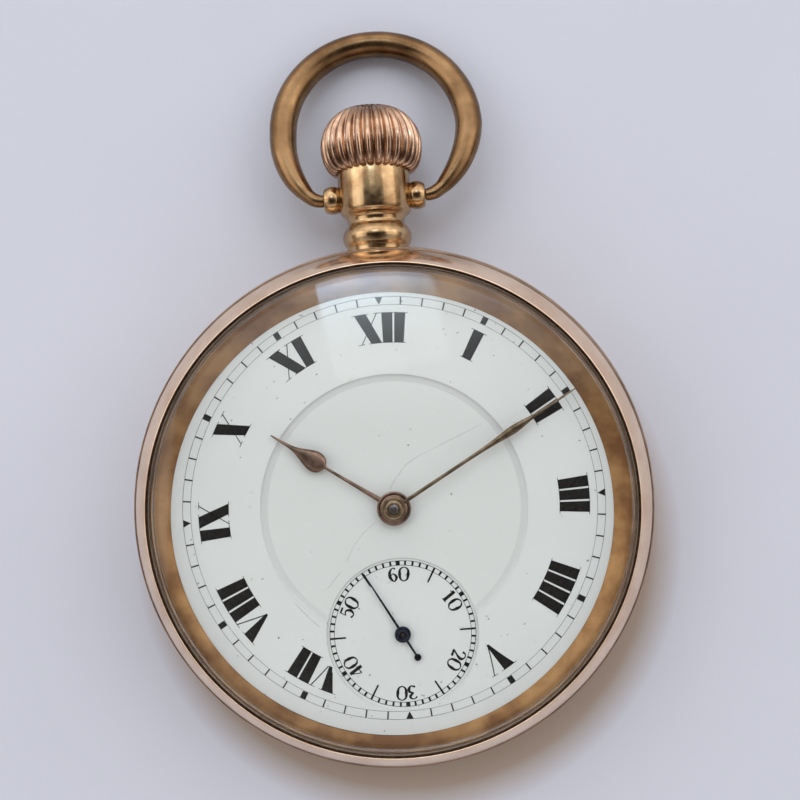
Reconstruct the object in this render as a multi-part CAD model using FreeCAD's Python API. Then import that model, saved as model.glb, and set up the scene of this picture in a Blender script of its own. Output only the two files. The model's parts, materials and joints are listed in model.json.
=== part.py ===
import FreeCAD, Part
import math
import os

# Open face pocket watch, lying on its back.  Millimetres.
# +Z is the dial side, +Y points to the pendant at 12 o'clock, +X to 3 o'clock.
# The origin is the centre of the flat on the back cover.

V = FreeCAD.Vector
UP = V(0, 0, 1)
ALONG_X = V(1, 0, 0)
ALONG_Y = V(0, 1, 0)

# ---- case ----
CASE_R = 25.6
STEM_Z = 5.2
DIAL_TOP = 8.6
CRYSTAL_TOP = 12.6
CRYSTAL_R = 22.99
PLATE_LOW = 5.9
PLATE_TOP = 7.3
BRIDGE_LOW = 2.5
BRIDGE_TOP = 3.6
MOVEMENT_R = 20.6
EAR_Y = 30.65
EAR_X = 4.2
BOW_TILT = 13.0
BOW_R = 9.45
BOW_RISE = 7.35
BOW_SKEW = 0.5
BACK_PIVOT = (-24.3, 3.0)
DUST_PIVOT = (-22.2, 1.75)

# ---- dial and hands ----
DIAL_R = 21.85
CENTRE_SUNK_R = 12.9
SECONDS_SUNK_R = 7.35
SECONDS_Y = -12.2
HOUR_ANGLE = 304.5
MINUTE_ANGLE = 60.3
SECONDS_ANGLE = 330.8

# ---- wheel centres of the movement ----
CENTRE = (0.0, 0.0)
BARREL = (6.783, 6.215)
THIRD = (4.57, -7.75)
FOURTH = (0.0, SECONDS_Y)
ESCAPE = (-6.2, -14.46)
PALLET = (-7.88, -11.30)
BALANCE = (-10.23, -6.88)
CROWN_WHEEL = (0.0, 13.009)
MINUTE_WHEEL = (0.0, 3.6)
SETTING_WHEEL = (0.0, 9.45)
CLICK = (15.35, 6.215)
COCK_FOOT = (-17.2, 2.6)
CASE_SCREWS = [(12.0, 17.05), (-12.0, -17.05)]
BARREL_PILLARS = [(17.3, -2.2), (12.0, 14.6), (-7.2, 17.0), (-12.4, 7.2)]
TRAIN_PILLARS = [(14.5, -12.0), (3.0, -19.1)]
SMALL_PILLAR = (-9.6, -17.2)
PALLET_FOOT = (-12.9, -13.4)
JEWEL_R = 0.55
SLOT_TURN = 30
FIT = 0.05

os.makedirs("parts", exist_ok=True)


# ---- shape helpers ----
def rod(x, y, low, high, radius):
    return Part.makeCylinder(radius, high - low, V(x, y, low), UP)


def ring(x, y, low, high, outer, inner):
    return rod(x, y, low, high, outer).cut(rod(x, y, low - 1, high + 1, inner))


def box(x0, y0, z0, x1, y1, z1):
    return Part.makeBox(x1 - x0, y1 - y0, z1 - z0, V(x0, y0, z0))


def rod_x(x0, x1, y, z, radius):
    return Part.makeCylinder(radius, x1 - x0, V(x0, y, z), ALONG_X)


def rod_y(y0, y1, radius):
    return Part.makeCylinder(radius, y1 - y0, V(0, y0, STEM_Z), ALONG_Y)


def slab(points, low, high):
    corners = [V(x, y, low) for x, y in points]
    face = Part.Face(Part.makePolygon(corners + [corners[0]]))
    return face.extrude(V(0, 0, high - low))


def drill(plate, places, low, high, radius):
    for x, y in places:
        plate = plate.cut(rod(x, y, low, high, radius))
    return plate


def save(name, shape):
    shape.exportStep("parts/" + name + ".step")


def polar(radius, degrees):
    """A point at this radius, degrees counted anticlockwise from +X."""
    angle = math.radians(degrees)
    return (radius * math.cos(angle), radius * math.sin(angle))


def bearing(start, end):
    return math.degrees(math.atan2(end[1] - start[1], end[0] - start[0]))


def gear(centre, low, high, teeth, module, first_tooth):
    """A spur gear with flat-sided teeth; one tooth points along first_tooth degrees."""
    pitch_r = teeth * module / 2
    step = 360.0 / teeth
    points = []
    for index in range(teeth):
        middle = first_tooth + index * step
        for radius, part in ((pitch_r - 1.2 * module, -0.27), (pitch_r + 0.75 * module, -0.11),
                             (pitch_r + 0.75 * module, 0.11), (pitch_r - 1.2 * module, 0.27)):
            x, y = polar(radius, middle + part * step)
            points.append((centre[0] + x, centre[1] + y))
    return slab(points, low, high)


def mesh_angles(driver, driven, driven_teeth):
    """Tooth directions that put a driver's tooth in a gap of the wheel it drives."""
    return bearing(driver, driven), bearing(driven, driver) + 180.0 / driven_teeth


def spoked(centre, low, high, teeth, module, first_tooth, hub_r, bore_r, spokes, rim):
    """A gear wheel with a rim, a hub and straight spokes, and a bore for its arbor."""
    blank = gear(centre, low, high, teeth, module, first_tooth)
    inner_r = teeth * module / 2 - 1.2 * module - rim
    opening = ring(centre[0], centre[1], low - 1, high + 1, inner_r, hub_r)
    for index in range(spokes):
        arm = box(0, -0.35, low - 2, inner_r + 1, 0.35, high + 2)
        arm.rotate(V(0, 0, 0), UP, 90 + index * 360.0 / spokes)
        arm.translate(V(centre[0], centre[1], 0))
        opening = opening.cut(arm)
    wheel = blank.cut(opening)
    return wheel.cut(rod(centre[0], centre[1], low - 1, high + 1, bore_r))


def screw(x, y, seat, tip, head_r):
    """A slotted screw whose head stands below z = seat and whose shank reaches up to z = tip."""
    head_height = 0.42
    head = rod(x, y, seat - head_height, seat, head_r)
    shank = rod(x, y, seat, tip, head_r * 0.5)
    slot = box(-head_r - 1, -0.09, -0.3, head_r + 1, 0.09, 0.16)
    slot.rotate(V(0, 0, 0), UP, SLOT_TURN)
    slot.translate(V(x, y, seat - head_height))
    return head.fuse(shank).cut(slot)


def lathe(start, steps, on_stem=False):
    """Revolve a closed outline.  A step is a point, or (middle, end) for an arc.

    Points are (radius, height); the axis is the watch's vertical one, or the stem's.
    """
    def place(point):
        if on_stem:
            return V(point[0], point[1], STEM_Z)
        return V(point[0], 0, point[1])

    edges = []
    here = start
    for step in steps:
        if isinstance(step[0], tuple):
            middle, end = step
            edges.append(Part.Arc(place(here), place(middle), place(end)).toShape())
        else:
            end = step
            edges.append(Part.makeLine(place(here), place(end)))
        here = end
    edges.append(Part.makeLine(place(here), place(start)))
    face = Part.Face(Part.Wire(edges))
    if on_stem:
        return face.revolve(V(0, 0, STEM_Z), ALONG_Y, 360)
    return face.revolve(V(0, 0, 0), UP, 360)


# ---- case: band, bezel, crystal, covers ----
def make_case_band():
    band = lathe((24.65, 3.06), [((CASE_R, 5.9), (25.3, 7.42)), (24.0, 7.42), (24.0, 8.2), (22.0, 8.2),
                                 (22.0, 7.4), (21.4, 7.4), (21.4, 5.85), (20.9, 5.85), (20.9, 1.62),
                                 (22.5, 1.62), (23.6, 3.06)])
    pivot_y, pivot_z = BACK_PIVOT
    dust_y, dust_z = DUST_PIVOT
    band = band.cut(rod_y(18, 27, 2.3))
    band = band.cut(rod_x(-4.3, 4.3, pivot_y, pivot_z, 0.75))
    band = band.cut(box(-2.6, -23.2, 1.0, 2.6, -20.5, 2.3))
    band = band.cut(rod_x(-4.0, 4.0, dust_y, dust_z, 0.19))
    band = drill(band, CASE_SCREWS, 5.3, 5.9, 0.8)
    web = box(-1.3, pivot_y - 0.22, pivot_z + 0.1, 1.3, pivot_y + 0.3, pivot_z + 1.3)
    knuckle = rod_x(-1.3, 1.3, pivot_y, pivot_z, 0.6)
    band = band.fuse([web, knuckle])
    return band.cut(rod_x(-5, 5, pivot_y, pivot_z, 0.34))


def make_back_cover():
    shell = lathe((0, 0), [(12, 0), ((17, 0.22), (21.8, 0.85)), ((24.0, 1.75), (24.72, 2.98)), (24.32, 2.98),
                           ((23.66, 1.98), (21.65, 1.2)), ((17, 0.59), (12, 0.38)), (0, 0.38)])
    pivot_y, pivot_z = BACK_PIVOT
    shell = shell.cut(rod_x(-4.3, 4.3, pivot_y, pivot_z, 0.75))
    for side in (-1, 1):
        left = min(side * 1.4, side * 3.2)
        knuckle = rod_x(left, left + 1.8, pivot_y, pivot_z, 0.6)
        web = box(left, pivot_y - 0.15, 1.75, left + 1.8, pivot_y + 0.25, pivot_z - 0.3)
        shell = shell.fuse([knuckle, web])
    return shell.cut(rod_x(-5, 5, pivot_y, pivot_z, 0.35))


def make_dust_cover():
    dust_y, dust_z = DUST_PIVOT
    cover = rod(0, 0, 1.3, 1.6, 21.3)
    knuckle = rod_x(-2.5, 2.5, dust_y, dust_z, 0.34)
    web = box(-2.5, dust_y - 0.1, 1.42, 2.5, -21.0, dust_z - 0.1)
    cover = cover.fuse([knuckle, web])
    finger = rod(0, 21.9, 1.0, 2.0, 1.5)
    return cover.cut(rod_x(-5, 5, dust_y, dust_z, 0.2)).cut(finger)


def make_pendant():
    neck = lathe((3.0, 24.3), [(3.0, 25.7), ((3.4, 26.75), (2.9, 27.7)), ((2.78, 28.15), (2.95, 28.65)),
                               (3.2, 28.85), (3.6, 29.25), (3.6, 33.6), (3.4, 33.9), (2.0, 33.9), (2.0, 32.3),
                               (1.0, 32.3), (1.0, 24.3)], on_stem=True)
    neck = neck.cut(rod(0, 0, -5, 20, CASE_R + 0.03))
    spigot = rod_y(22.4, 26.6, 2.25).cut(rod_y(20, 27, 1.0))
    neck = neck.fuse(spigot)
    for side in (-1, 1):
        ear = Part.makeSphere(1.38, V(side * EAR_X, EAR_Y, STEM_Z))
        flat = rod_x(min(side * 5, side * 6), max(side * 5, side * 6), EAR_Y, STEM_Z, 2)
        neck = neck.fuse(ear.cut(flat))
    neck = neck.cut(rod_y(20, 32.5, 1.0)).cut(rod_y(32.3, 34.5, 2.0))
    for side in (-1, 1):
        first = min(side * 3.7, side * 7)
        neck = neck.cut(rod_x(first, first + 3.3, EAR_Y, STEM_Z, 0.5))
    return neck.removeSplitter()


def make_crown():
    sections = ((3.95, 33.1), (4.45, 33.55), (4.85, 34.3), (5.07, 35.4), (5.0, 36.4), (4.64, 37.45),
                (3.92, 38.45), (3.0, 39.15), (1.85, 39.5))
    flutes = 30
    wires = []
    for radius, y in sections:
        depth = 0.06 * radius
        corners = []
        for index in range(2 * flutes):
            x, z = polar(radius - depth * (index % 2), index * 180.0 / flutes)
            corners.append(V(x, y, STEM_Z + z))
        wires.append(Part.makePolygon(corners + [corners[0]]))
    body = Part.makeLoft(wires, True, True)
    button = lathe((0, 39.35), [(1.75, 39.35), (1.65, 39.55), (0.8, 39.7), (0, 39.7)], on_stem=True)
    cup = rod_y(33.0, 34.4, 3.75).cut(rod_y(31.5, 35.5, 1.85))
    boss = rod_y(32.7, 33.3, 1.85)
    body = body.fuse([button, boss]).cut(cup)
    return body.cut(rod_y(31.5, 36.5, 0.63))


def make_bow():
    """A round wire ring, thick at the top, thin at the ears and worn a little to one side."""
    lean = 1 / math.cos(math.radians(BOW_TILT))
    sections = []
    count = 30
    for index in range(count + 1):
        angle = -42 + index * 264.0 / count
        x, y = polar(BOW_R, angle)
        height = y + BOW_RISE
        shift = BOW_SKEW * min(1.0, height / BOW_RISE)
        sections.append((x + shift, height * lean, 1.3 - 0.45 * (abs(angle - 90) / 132.0) ** 4))
    right_end = [(5.05, 0.0, 0.45), (5.6, 0.02, 0.62), (6.25, 0.2, 0.75)]
    left_end = [(-x, y, radius) for x, y, radius in reversed(right_end)]
    stations = right_end + sections + left_end
    wires = []
    for index, (x, y, radius) in enumerate(stations):
        before = stations[max(index - 1, 0)]
        after = stations[min(index + 1, len(stations) - 1)]
        direction = V(after[0] - before[0], after[1] - before[1], 0)
        if index in (0, len(stations) - 1):
            direction = ALONG_X
        circle = Part.makeCircle(radius, V(x, y, 0), direction)
        wires.append(Part.Wire(circle))
    wire = Part.makeLoft(wires, True, False)
    pins = [rod_x(-5.3, -3.9, 0, 0, 0.41), rod_x(3.9, 5.3, 0, 0, 0.41)]
    bow = wire.fuse(pins)
    bow.rotate(V(0, 0, 0), ALONG_X, -BOW_TILT)
    bow.translate(V(0, EAR_Y, STEM_Z))
    return bow


def dome(top, edge_r, edge_z):
    """The ball whose cap reaches from a circle of edge_r at edge_z up to the top."""
    drop = top - edge_z
    radius = (edge_r ** 2 + drop ** 2) / (2 * drop)
    return Part.makeSphere(radius, V(0, 0, top - radius))


def make_crystal():
    blank = rod(0, 0, 10.26, 13, CRYSTAL_R).common(dome(CRYSTAL_TOP, CRYSTAL_R, 10.8))
    hollow = rod(0, 0, 10.0, 13, 22.6).common(dome(CRYSTAL_TOP - 0.7, 22.6, 10.3))
    return blank.cut(hollow)


def make_case():
    pivot_y, pivot_z = BACK_PIVOT
    dust_y, dust_z = DUST_PIVOT
    save("case_band", make_case_band())
    save("pendant", make_pendant())
    save("bezel", lathe((25.12, 7.46), [(25.12, 8.3), ((24.5, 9.6), (23.5, 10.84)), (23.12, 10.98),
                                        (23.03, 10.95), (23.03, 10.22), (22.85, 10.22), (22.85, 8.28),
                                        (24.05, 8.28), (24.05, 7.46)]))
    save("crystal", make_crystal())
    save("rehaut_ring", lathe((21.72, 8.64), [(22.72, 10.1), (22.8, 10.1), (22.8, 8.25), (22.05, 8.25),
                                              (22.05, 8.64)]))
    save("back_cover", make_back_cover())
    save("dust_cover", make_dust_cover())
    save("back_hinge_pin", rod_x(-3.2, 3.2, pivot_y, pivot_z, 0.3))
    save("dust_hinge_pin", rod_x(-3.6, 3.6, dust_y, dust_z, 0.15))
    save("bow", make_bow())
    save("crown", make_crown())


# ---- dial and hands ----
def make_dial():
    centre_cut = rod(0, 0, 7, 9, CENTRE_SUNK_R)
    seconds_cut = rod(0, SECONDS_Y, 7, 9, SECONDS_SUNK_R)
    save("dial_ring", rod(0, 0, 7.72, DIAL_TOP, DIAL_R).cut(centre_cut).cut(seconds_cut))
    centre = rod(0, 0, 7.75, 8.4, CENTRE_SUNK_R - 0.02).cut(seconds_cut)
    save("dial_centre", centre.cut(rod(0, 0, 7, 9, 1.2)))
    seconds = rod(0, SECONDS_Y, 7.72, 8.26, SECONDS_SUNK_R - 0.02)
    save("dial_seconds", seconds.cut(rod(0, SECONDS_Y, 7, 9, 0.4)))
    feet = [rod(*polar(18.6, angle), 6.4, 7.71, 0.3) for angle in (205, 325, 25)]
    save("dial_feet", Part.makeCompound(feet))


def hand(outline, low, high, boss_r, boss_top, bore_r, angle, centre, tail=None):
    """A flat hand; outline lists (distance from the boss, half width) out to the tip."""
    right = [(half, y) for y, half in outline]
    left = [(-half, y) for y, half in reversed(outline)]
    blade = slab(right + left, low, high)
    parts = [rod(0, 0, low, boss_top, boss_r)]
    if tail:
        length, radius = tail
        parts.append(box(-0.1, -length, low, 0.1, 0, high))
        parts.append(rod(0, -length, low, high, radius))
    whole = blade.fuse(parts).cut(rod(0, 0, low - 1, boss_top + 1, bore_r))
    whole.rotate(V(0, 0, 0), UP, -angle)
    whole.translate(V(centre[0], centre[1], 0))
    return whole


def make_hands():
    hour = [(0.9, 0.36), (7.5, 0.28), (7.8, 0.36), (8.05, 0.62), (8.4, 0.88), (8.9, 1.0), (9.4, 0.9),
            (10.0, 0.62), (10.8, 0.32), (11.6, 0.19), (13.7, 0.04)]
    minute = [(0.7, 0.26), (8.0, 0.215), (11.4, 0.27), (12.6, 0.36), (13.4, 0.42), (14.0, 0.425),
              (14.9, 0.34), (16.0, 0.21), (17.5, 0.15), (20.9, 0.05)]
    seconds = [(0.4, 0.12), (6.93, 0.06)]
    save("hour_hand", hand(hour, 8.98, 9.16, 1.63, 9.3, 0.93, HOUR_ANGLE, CENTRE))
    save("minute_hand", hand(minute, 9.42, 9.56, 1.15, 9.75, 0.33, MINUTE_ANGLE, CENTRE))
    save("seconds_hand", hand(seconds, 8.5, 8.6, 0.75, 8.8, 0.16, SECONDS_ANGLE, FOURTH, tail=(2.64, 0.33)))


# ---- motion work under the dial ----
def make_motion_work():
    cannon_tooth, minute_tooth = mesh_angles(CENTRE, MINUTE_WHEEL, 36)
    pinion_tooth, hour_tooth = mesh_angles(MINUTE_WHEEL, CENTRE, 40)
    # the minute wheel turns a tooth space towards the setting wheel, so that wheel shows it a tooth
    setting_tooth = bearing(SETTING_WHEEL, MINUTE_WHEEL)
    cannon = gear(CENTRE, 6.76, 7.12, 12, 0.15, cannon_tooth)
    cannon = cannon.fuse(rod(0, 0, 7.1, 9.4, 0.6)).cut(rod(0, 0, 6, 10, 0.33))
    save("cannon_pinion", cannon)
    x, y = MINUTE_WHEEL
    minute = gear(MINUTE_WHEEL, 6.8, 6.98, 36, 0.15, minute_tooth)
    minute = minute.fuse(gear(MINUTE_WHEEL, 6.97, 7.5, 10, 0.144, pinion_tooth))
    save("minute_wheel", minute.cut(rod(x, y, 6, 8, 0.32)))
    hour = gear(CENTRE, 7.22, 7.42, 40, 0.144, hour_tooth)
    hour = hour.fuse(rod(0, 0, 7.22, 9.28, 0.9)).cut(rod(0, 0, 6, 10, 0.66))
    save("hour_wheel", hour)
    x, y = SETTING_WHEEL
    save("setting_wheel", gear(SETTING_WHEEL, 6.45, 6.95, 42, 0.15, setting_tooth).cut(rod(x, y, 6, 8, 0.42)))


# ---- going train ----
def arbor(centre, low, high, radius=0.2, pivot_r=0.12):
    x, y = centre
    body = rod(x, y, low + 0.45, high - 0.45, radius)
    return body.fuse(rod(x, y, low, high, pivot_r))


def make_train():
    barrel_tooth, centre_pinion_tooth = mesh_angles(BARREL, CENTRE, 12)
    centre_tooth, third_pinion_tooth = mesh_angles(CENTRE, THIRD, 10)
    third_tooth, fourth_pinion_tooth = mesh_angles(THIRD, FOURTH, 10)
    fourth_tooth, escape_pinion_tooth = mesh_angles(FOURTH, ESCAPE, 8)
    bx, by = BARREL
    drum = gear(BARREL, 3.8, 4.22, 80, 0.2, barrel_tooth).fuse(rod(bx, by, 3.8, 5.0, 7.3))
    drum = drum.cut(rod(bx, by, 4.0, 5.2, 6.9)).cut(rod(bx, by, 3, 6, 0.56))
    save("barrel", drum)
    save("barrel_lid", ring(bx, by, 4.86, 5.0, 6.87, 0.56))
    shaft = rod(bx, by, 2.46, 6.5, 0.5).fuse(rod(bx, by, 4.08, 4.8, 1.1))
    save("barrel_arbor", shaft)
    save("mainspring", spiral(BARREL, 4.08, 4.8, 2.2, 6.8, 11, 0.14))
    centre = spoked(CENTRE, 5.3, 5.52, 80, 0.2, centre_tooth, 1.3, 0.1, 5, 0.7)
    centre = centre.fuse([gear(CENTRE, 3.7, 4.5, 12, 0.2, centre_pinion_tooth),
                          rod(0, 0, 3.7, 9.4, 0.3), rod(0, 0, 2.95, 6.0, 0.25), rod(0, 0, 5.05, 5.35, 1.3)])
    save("centre_wheel", centre)
    third = spoked(THIRD, 4.1, 4.32, 75, 0.15, third_tooth, 0.8, 0.1, 5, 0.5)
    third = third.fuse([gear(THIRD, 5.15, 5.65, 10, 0.2, third_pinion_tooth), arbor(THIRD, 2.95, 6.4)])
    save("third_wheel", third)
    fourth = spoked(FOURTH, 4.76, 4.98, 80, 0.15, fourth_tooth, 0.8, 0.1, 5, 0.5)
    fourth = fourth.fuse([gear(FOURTH, 3.98, 4.45, 10, 0.15, fourth_pinion_tooth),
                          arbor(FOURTH, 2.95, 8.75)])
    save("fourth_wheel", fourth)
    save("escape_wheel", make_escape_wheel(escape_pinion_tooth))


def make_escape_wheel(pinion_tooth):
    """Fifteen pointed club teeth, set a quarter of a tooth space off both pallet stones."""
    teeth = 15
    first = bearing(ESCAPE, PALLET) + 6
    points = []
    for index in range(teeth):
        middle = first + index * 360.0 / teeth
        for radius, turn in ((2.45, -3.6), (3.1, -1.9), (3.1, -0.9), (3.02, -0.3), (2.45, 5.0)):
            x, y = polar(radius, middle + turn)
            points.append((ESCAPE[0] + x, ESCAPE[1] + y))
    rim = slab(points, 4.12, 4.32)
    opening = ring(ESCAPE[0], ESCAPE[1], 4, 5, 2.15, 0.7)
    for index in range(4):
        arm = box(0, -0.2, 3, 2.3, 0.2, 6)
        arm.rotate(V(0, 0, 0), UP, index * 90.0)
        arm.translate(V(ESCAPE[0], ESCAPE[1], 0))
        opening = opening.cut(arm)
    pinion = gear(ESCAPE, 4.66, 5.1, 8, 0.15, pinion_tooth)
    return rim.cut(opening).fuse([pinion, arbor(ESCAPE, 2.95, 6.4)])


def spiral(centre, low, high, inner_r, outer_r, turns, width):
    """A flat coiled strip wound anticlockwise from inner_r to outer_r."""
    steps = int(turns * 20)
    outside = []
    inside = []
    for index in range(steps + 1):
        angle = index * 18.0
        radius = inner_r + (outer_r - inner_r) * index / steps
        for side, row in ((width / 2, outside), (-width / 2, inside)):
            x, y = polar(radius + side, angle)
            row.append((centre[0] + x, centre[1] + y))
    return slab(outside + inside[::-1], low, high)


# ---- escapement and balance ----
def make_escapement():
    px, py = PALLET
    toward_balance = bearing(PALLET, BALANCE)
    toward_escape = bearing(PALLET, ESCAPE)
    fork = [rod(px, py, 4.12, 4.32, 0.45), arbor(PALLET, 3.45, 6.4)]
    lever = box(0, -0.16, 4.12, 3.35, 0.16, 4.32)
    head = box(3.2, -0.42, 4.12, 3.75, 0.42, 4.32).cut(box(3.4, -0.17, 4, 4, 0.17, 5))
    for piece in (lever, head):
        piece.rotate(V(0, 0, 0), UP, toward_balance)
        piece.translate(V(px, py, 0))
        fork.append(piece)
    for side in (-1, 1):
        stone_at = polar(3.13, bearing(ESCAPE, PALLET) + side * 30)
        stone_at = (ESCAPE[0] + stone_at[0], ESCAPE[1] + stone_at[1])
        arm_angle = bearing(PALLET, stone_at)
        reach = math.hypot(stone_at[0] - px, stone_at[1] - py)
        arm = box(0, -0.13, 4.12, reach, 0.13, 4.32)
        arm.rotate(V(0, 0, 0), UP, arm_angle)
        arm.translate(V(px, py, 0))
        outer = bearing(ESCAPE, stone_at)
        arm = arm.cut(rod(ESCAPE[0], ESCAPE[1], 4, 5, 3.14))
        stone = box(3.14, -0.16, 4.12, 3.6, 0.16, 4.32)
        stone.rotate(V(0, 0, 0), UP, outer)
        stone.translate(V(ESCAPE[0], ESCAPE[1], 0))
        fork += [arm, stone]
    save("pallet_fork", fork[0].fuse(fork[1:]))
    bx, by = BALANCE
    wheel = ring(bx, by, 2.76, 3.38, 7.5, 6.9)
    arm = box(-7.1, -0.35, 3.12, 7.1, 0.35, 3.38)
    arm.rotate(V(0, 0, 0), UP, 20)
    arm.translate(V(bx, by, 0))
    staff = arbor(BALANCE, 2.32, 6.4, radius=0.22, pivot_r=0.1)
    hub = rod(bx, by, 3.05, 3.5, 0.8)
    screws = []
    for index in range(14):
        head = Part.makeCylinder(0.26, 0.5, V(7.45, 0, 3.07), ALONG_X)
        head.rotate(V(0, 0, 0), UP, 20 + (index + 0.5) * 360.0 / 14)
        head.translate(V(bx, by, 0))
        screws.append(head)
    save("balance_wheel", wheel.fuse([arm, hub, staff] + screws))
    roller = ring(bx, by, 3.56, 3.74, 1.25, 0.24)
    x, y = polar(0.9, toward_balance + 180)
    save("roller_table", roller.fuse(rod(bx + x, by + y, 3.74, 4.06, 0.13)))
    collet = ring(bx, by, 2.78, 3.0, 0.62, 0.24)
    save("hairspring", spiral(BALANCE, 2.8, 2.95, 0.64, 4.6, 10, 0.07).fuse(collet))
    regulator = ring(bx, by, 1.72, 1.92, 1.5, 0.7)
    pointer = box(1.3, -0.25, 1.72, 5.6, 0.25, 1.92)
    pointer.rotate(V(0, 0, 0), UP, bearing(BALANCE, COCK_FOOT) + 6)
    pointer.translate(V(bx, by, 0))
    save("regulator", regulator.fuse(pointer))


# ---- winding and setting ----
def make_keyless():
    stem = rod_y(11.95, 13.2, 0.33).fuse([rod_y(13.1, 17.6, 0.45), rod_y(17.5, 36.3, 0.6)])
    save("winding_stem", stem.cut(rod_y(18.1, 18.75, 1.0).cut(rod_y(18, 19, 0.4))))
    pinion = gear((0, 0), 15.7, 17.2, 16, 0.24, 90)
    pinion.rotate(V(0, 0, 0), ALONG_X, -90)
    pinion.translate(V(0, 0, STEM_Z))
    save("winding_pinion", pinion.cut(rod_y(15, 18, 0.5)))
    clutch = lathe((0.5, 13.7), [(1.35, 13.7), (1.35, 14.22), (1.0, 14.22), (1.0, 14.88), (1.35, 14.88),
                                 (1.35, 15.6), (0.5, 15.6)], on_stem=True)
    for index in range(6):
        for y in (13.5, 15.4):
            notch = box(-1.5, y, -0.12, 1.5, y + 0.4, 0.12)
            notch.rotate(V(0, 0, 0), ALONG_Y, index * 30.0)
            notch.translate(V(0, 0, STEM_Z))
            clutch = clutch.cut(notch)
    save("sliding_pinion", clutch)
    lever = rod(-3.4, 18.0, 6.72, 7.05, 0.9).fuse([slab([(-3.4, 17.4), (0.2, 18.1), (0.2, 18.7), (-3.4, 18.6)],
                                                       6.72, 7.05), rod(0, 18.42, 5.68, 6.8, 0.18)])
    save("setting_lever", lever.cut(rod(-3.4, 18.0, 6, 8, 0.4)))
    save("setting_lever_screw", rod(-3.4, 18.0, 6.0, 7.1, 0.35).fuse(rod(-3.4, 18.0, 7.08, 7.35, 0.8)))
    yoke = rod(-5.5, 14.55, 6.72, 7.0, 0.9).fuse([box(-5.5, 14.2, 6.72, 0.3, 14.9, 7.0),
                                                 rod(0, 14.55, 6.25, 6.9, 0.2)])
    save("yoke", yoke.cut(rod(-5.5, 14.55, 6, 8, 0.42)))
    save("yoke_spring", slab([(-9.0, 16.2), (-3.0, 15.3), (-3.0, 15.45), (-8.9, 16.5)], 6.72, 6.95))
    x, y = CROWN_WHEEL
    rx, ry = BARREL
    crown_tooth = 97.5
    to_ratchet = bearing(CROWN_WHEEL, BARREL)
    phase = (to_ratchet - crown_tooth) / 15.0
    ratchet_tooth = bearing(BARREL, CROWN_WHEEL) + (phase - math.floor(phase) + 0.5) * 360.0 / 56
    save("crown_wheel", gear(CROWN_WHEEL, 2.5, 3.25, 24, 0.24, crown_tooth).cut(rod(x, y, 2, 4, 0.95)))
    save("crown_wheel_screw", screw(x, y, 2.45, 3.4, 1.7))
    save("ratchet_wheel", gear(BARREL, 2.48, 2.86, 56, 0.24, ratchet_tooth).cut(rod(rx, ry, 2, 4, 0.53)))
    save("ratchet_screw", screw(rx, ry, 2.44, 2.45, 1.6))
    cx, cy = CLICK
    beak = slab([(cx, cy + 0.7), (cx - 1.62, cy - 1.1), (cx - 1.3, cy - 1.5), (cx + 0.5, cy - 0.5)], 2.48, 2.86)
    save("click", rod(cx, cy, 2.48, 2.86, 0.8).fuse(beak).cut(rod(cx, cy, 2, 4, 0.4)))
    strip = slab([(cx + 0.2, cy - 5.4), (cx - 0.85, cy - 2.0), (cx - 0.7, cy - 1.95), (cx + 0.45, cy - 5.4)],
                 2.5, 2.84)
    save("click_spring", strip.fuse(rod(cx + 0.3, cy - 5.4, 2.5, 2.84, 0.7)))


# ---- plates, bridges and cocks ----
def make_main_plate():
    plate = rod(0, 0, PLATE_LOW, PLATE_TOP, 21.3)
    plate = plate.fuse(ring(0, 0, 7.2, 7.68, 21.3, 19.8))
    columns = [rod(x, y, BRIDGE_TOP + 0.02, 6.0, 1.4) for x, y in BARREL_PILLARS]
    columns += [rod(x, y, BRIDGE_TOP + 0.02, 6.0, 1.2) for x, y in TRAIN_PILLARS]
    columns.append(rod(*SMALL_PILLAR, BRIDGE_TOP + 0.02, 6.0, 0.8))
    stem_block = box(-2.6, 17.5, 3.8, 2.6, 20.2, 6.0)
    lug = box(-1.5, 12.0, 4.4, 0.75, 12.7, 6.0)
    plate = plate.fuse(columns + [stem_block, lug])
    recesses = [rod(0, 0, 6.7, 8, 3.35), rod(0, 3.6, 6.7, 8, 3.0), rod(0, 9.45, 6.38, 8, 3.45),
                box(-6.6, 12.7, 6.65, 1.2, 15.6, 8), box(-4.5, 16.9, 6.65, 1.0, 19.6, 8),
                box(-9.3, 14.6, 6.65, -2.6, 17.0, 8), box(-0.6, 17.6, 5.4, 0.6, 19.5, 8),
                box(-2.3, 15.62, 3, 2.3, 17.45, 8), box(-1.6, 12.72, 5, 1.6, 15.7, 8),
                rod(0, SECONDS_Y, 6.9, 8, 4.0)]
    plate = plate.cut(recesses[0])
    for recess in recesses[1:]:
        plate = plate.cut(recess)
    plate = plate.cut(rod_y(17, 22, 0.68)).cut(rod_y(11, 13, 0.38))
    plate = drill(plate, [THIRD, FOURTH, ESCAPE, PALLET, BALANCE, CENTRE], 5, 8, JEWEL_R)
    plate = drill(plate, [BARREL], 5, 8, 0.55)
    plate = drill(plate, [polar(18.6, angle) for angle in (205, 325, 25)], 6.3, 8, 0.35)
    plate = drill(plate, BARREL_PILLARS + TRAIN_PILLARS, 3, 5.4, 0.42)
    plate = drill(plate, [SMALL_PILLAR, PALLET_FOOT], 3, 6.4, 0.3)
    plate = drill(plate, [COCK_FOOT], 3, 6.4, 0.42)
    plate = drill(plate, CASE_SCREWS, 5, 7.1, 0.38)
    posts = [rod(0, 3.6, 6.6, 7.5, 0.27), rod(0, 9.45, 6.2, 7.2, 0.37), rod(-5.5, 14.55, 5.8, 7.1, 0.37)]
    plate = plate.fuse(posts)
    return plate.cut(rod(-3.4, 18.0, 5.5, 7, 0.37))


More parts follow.
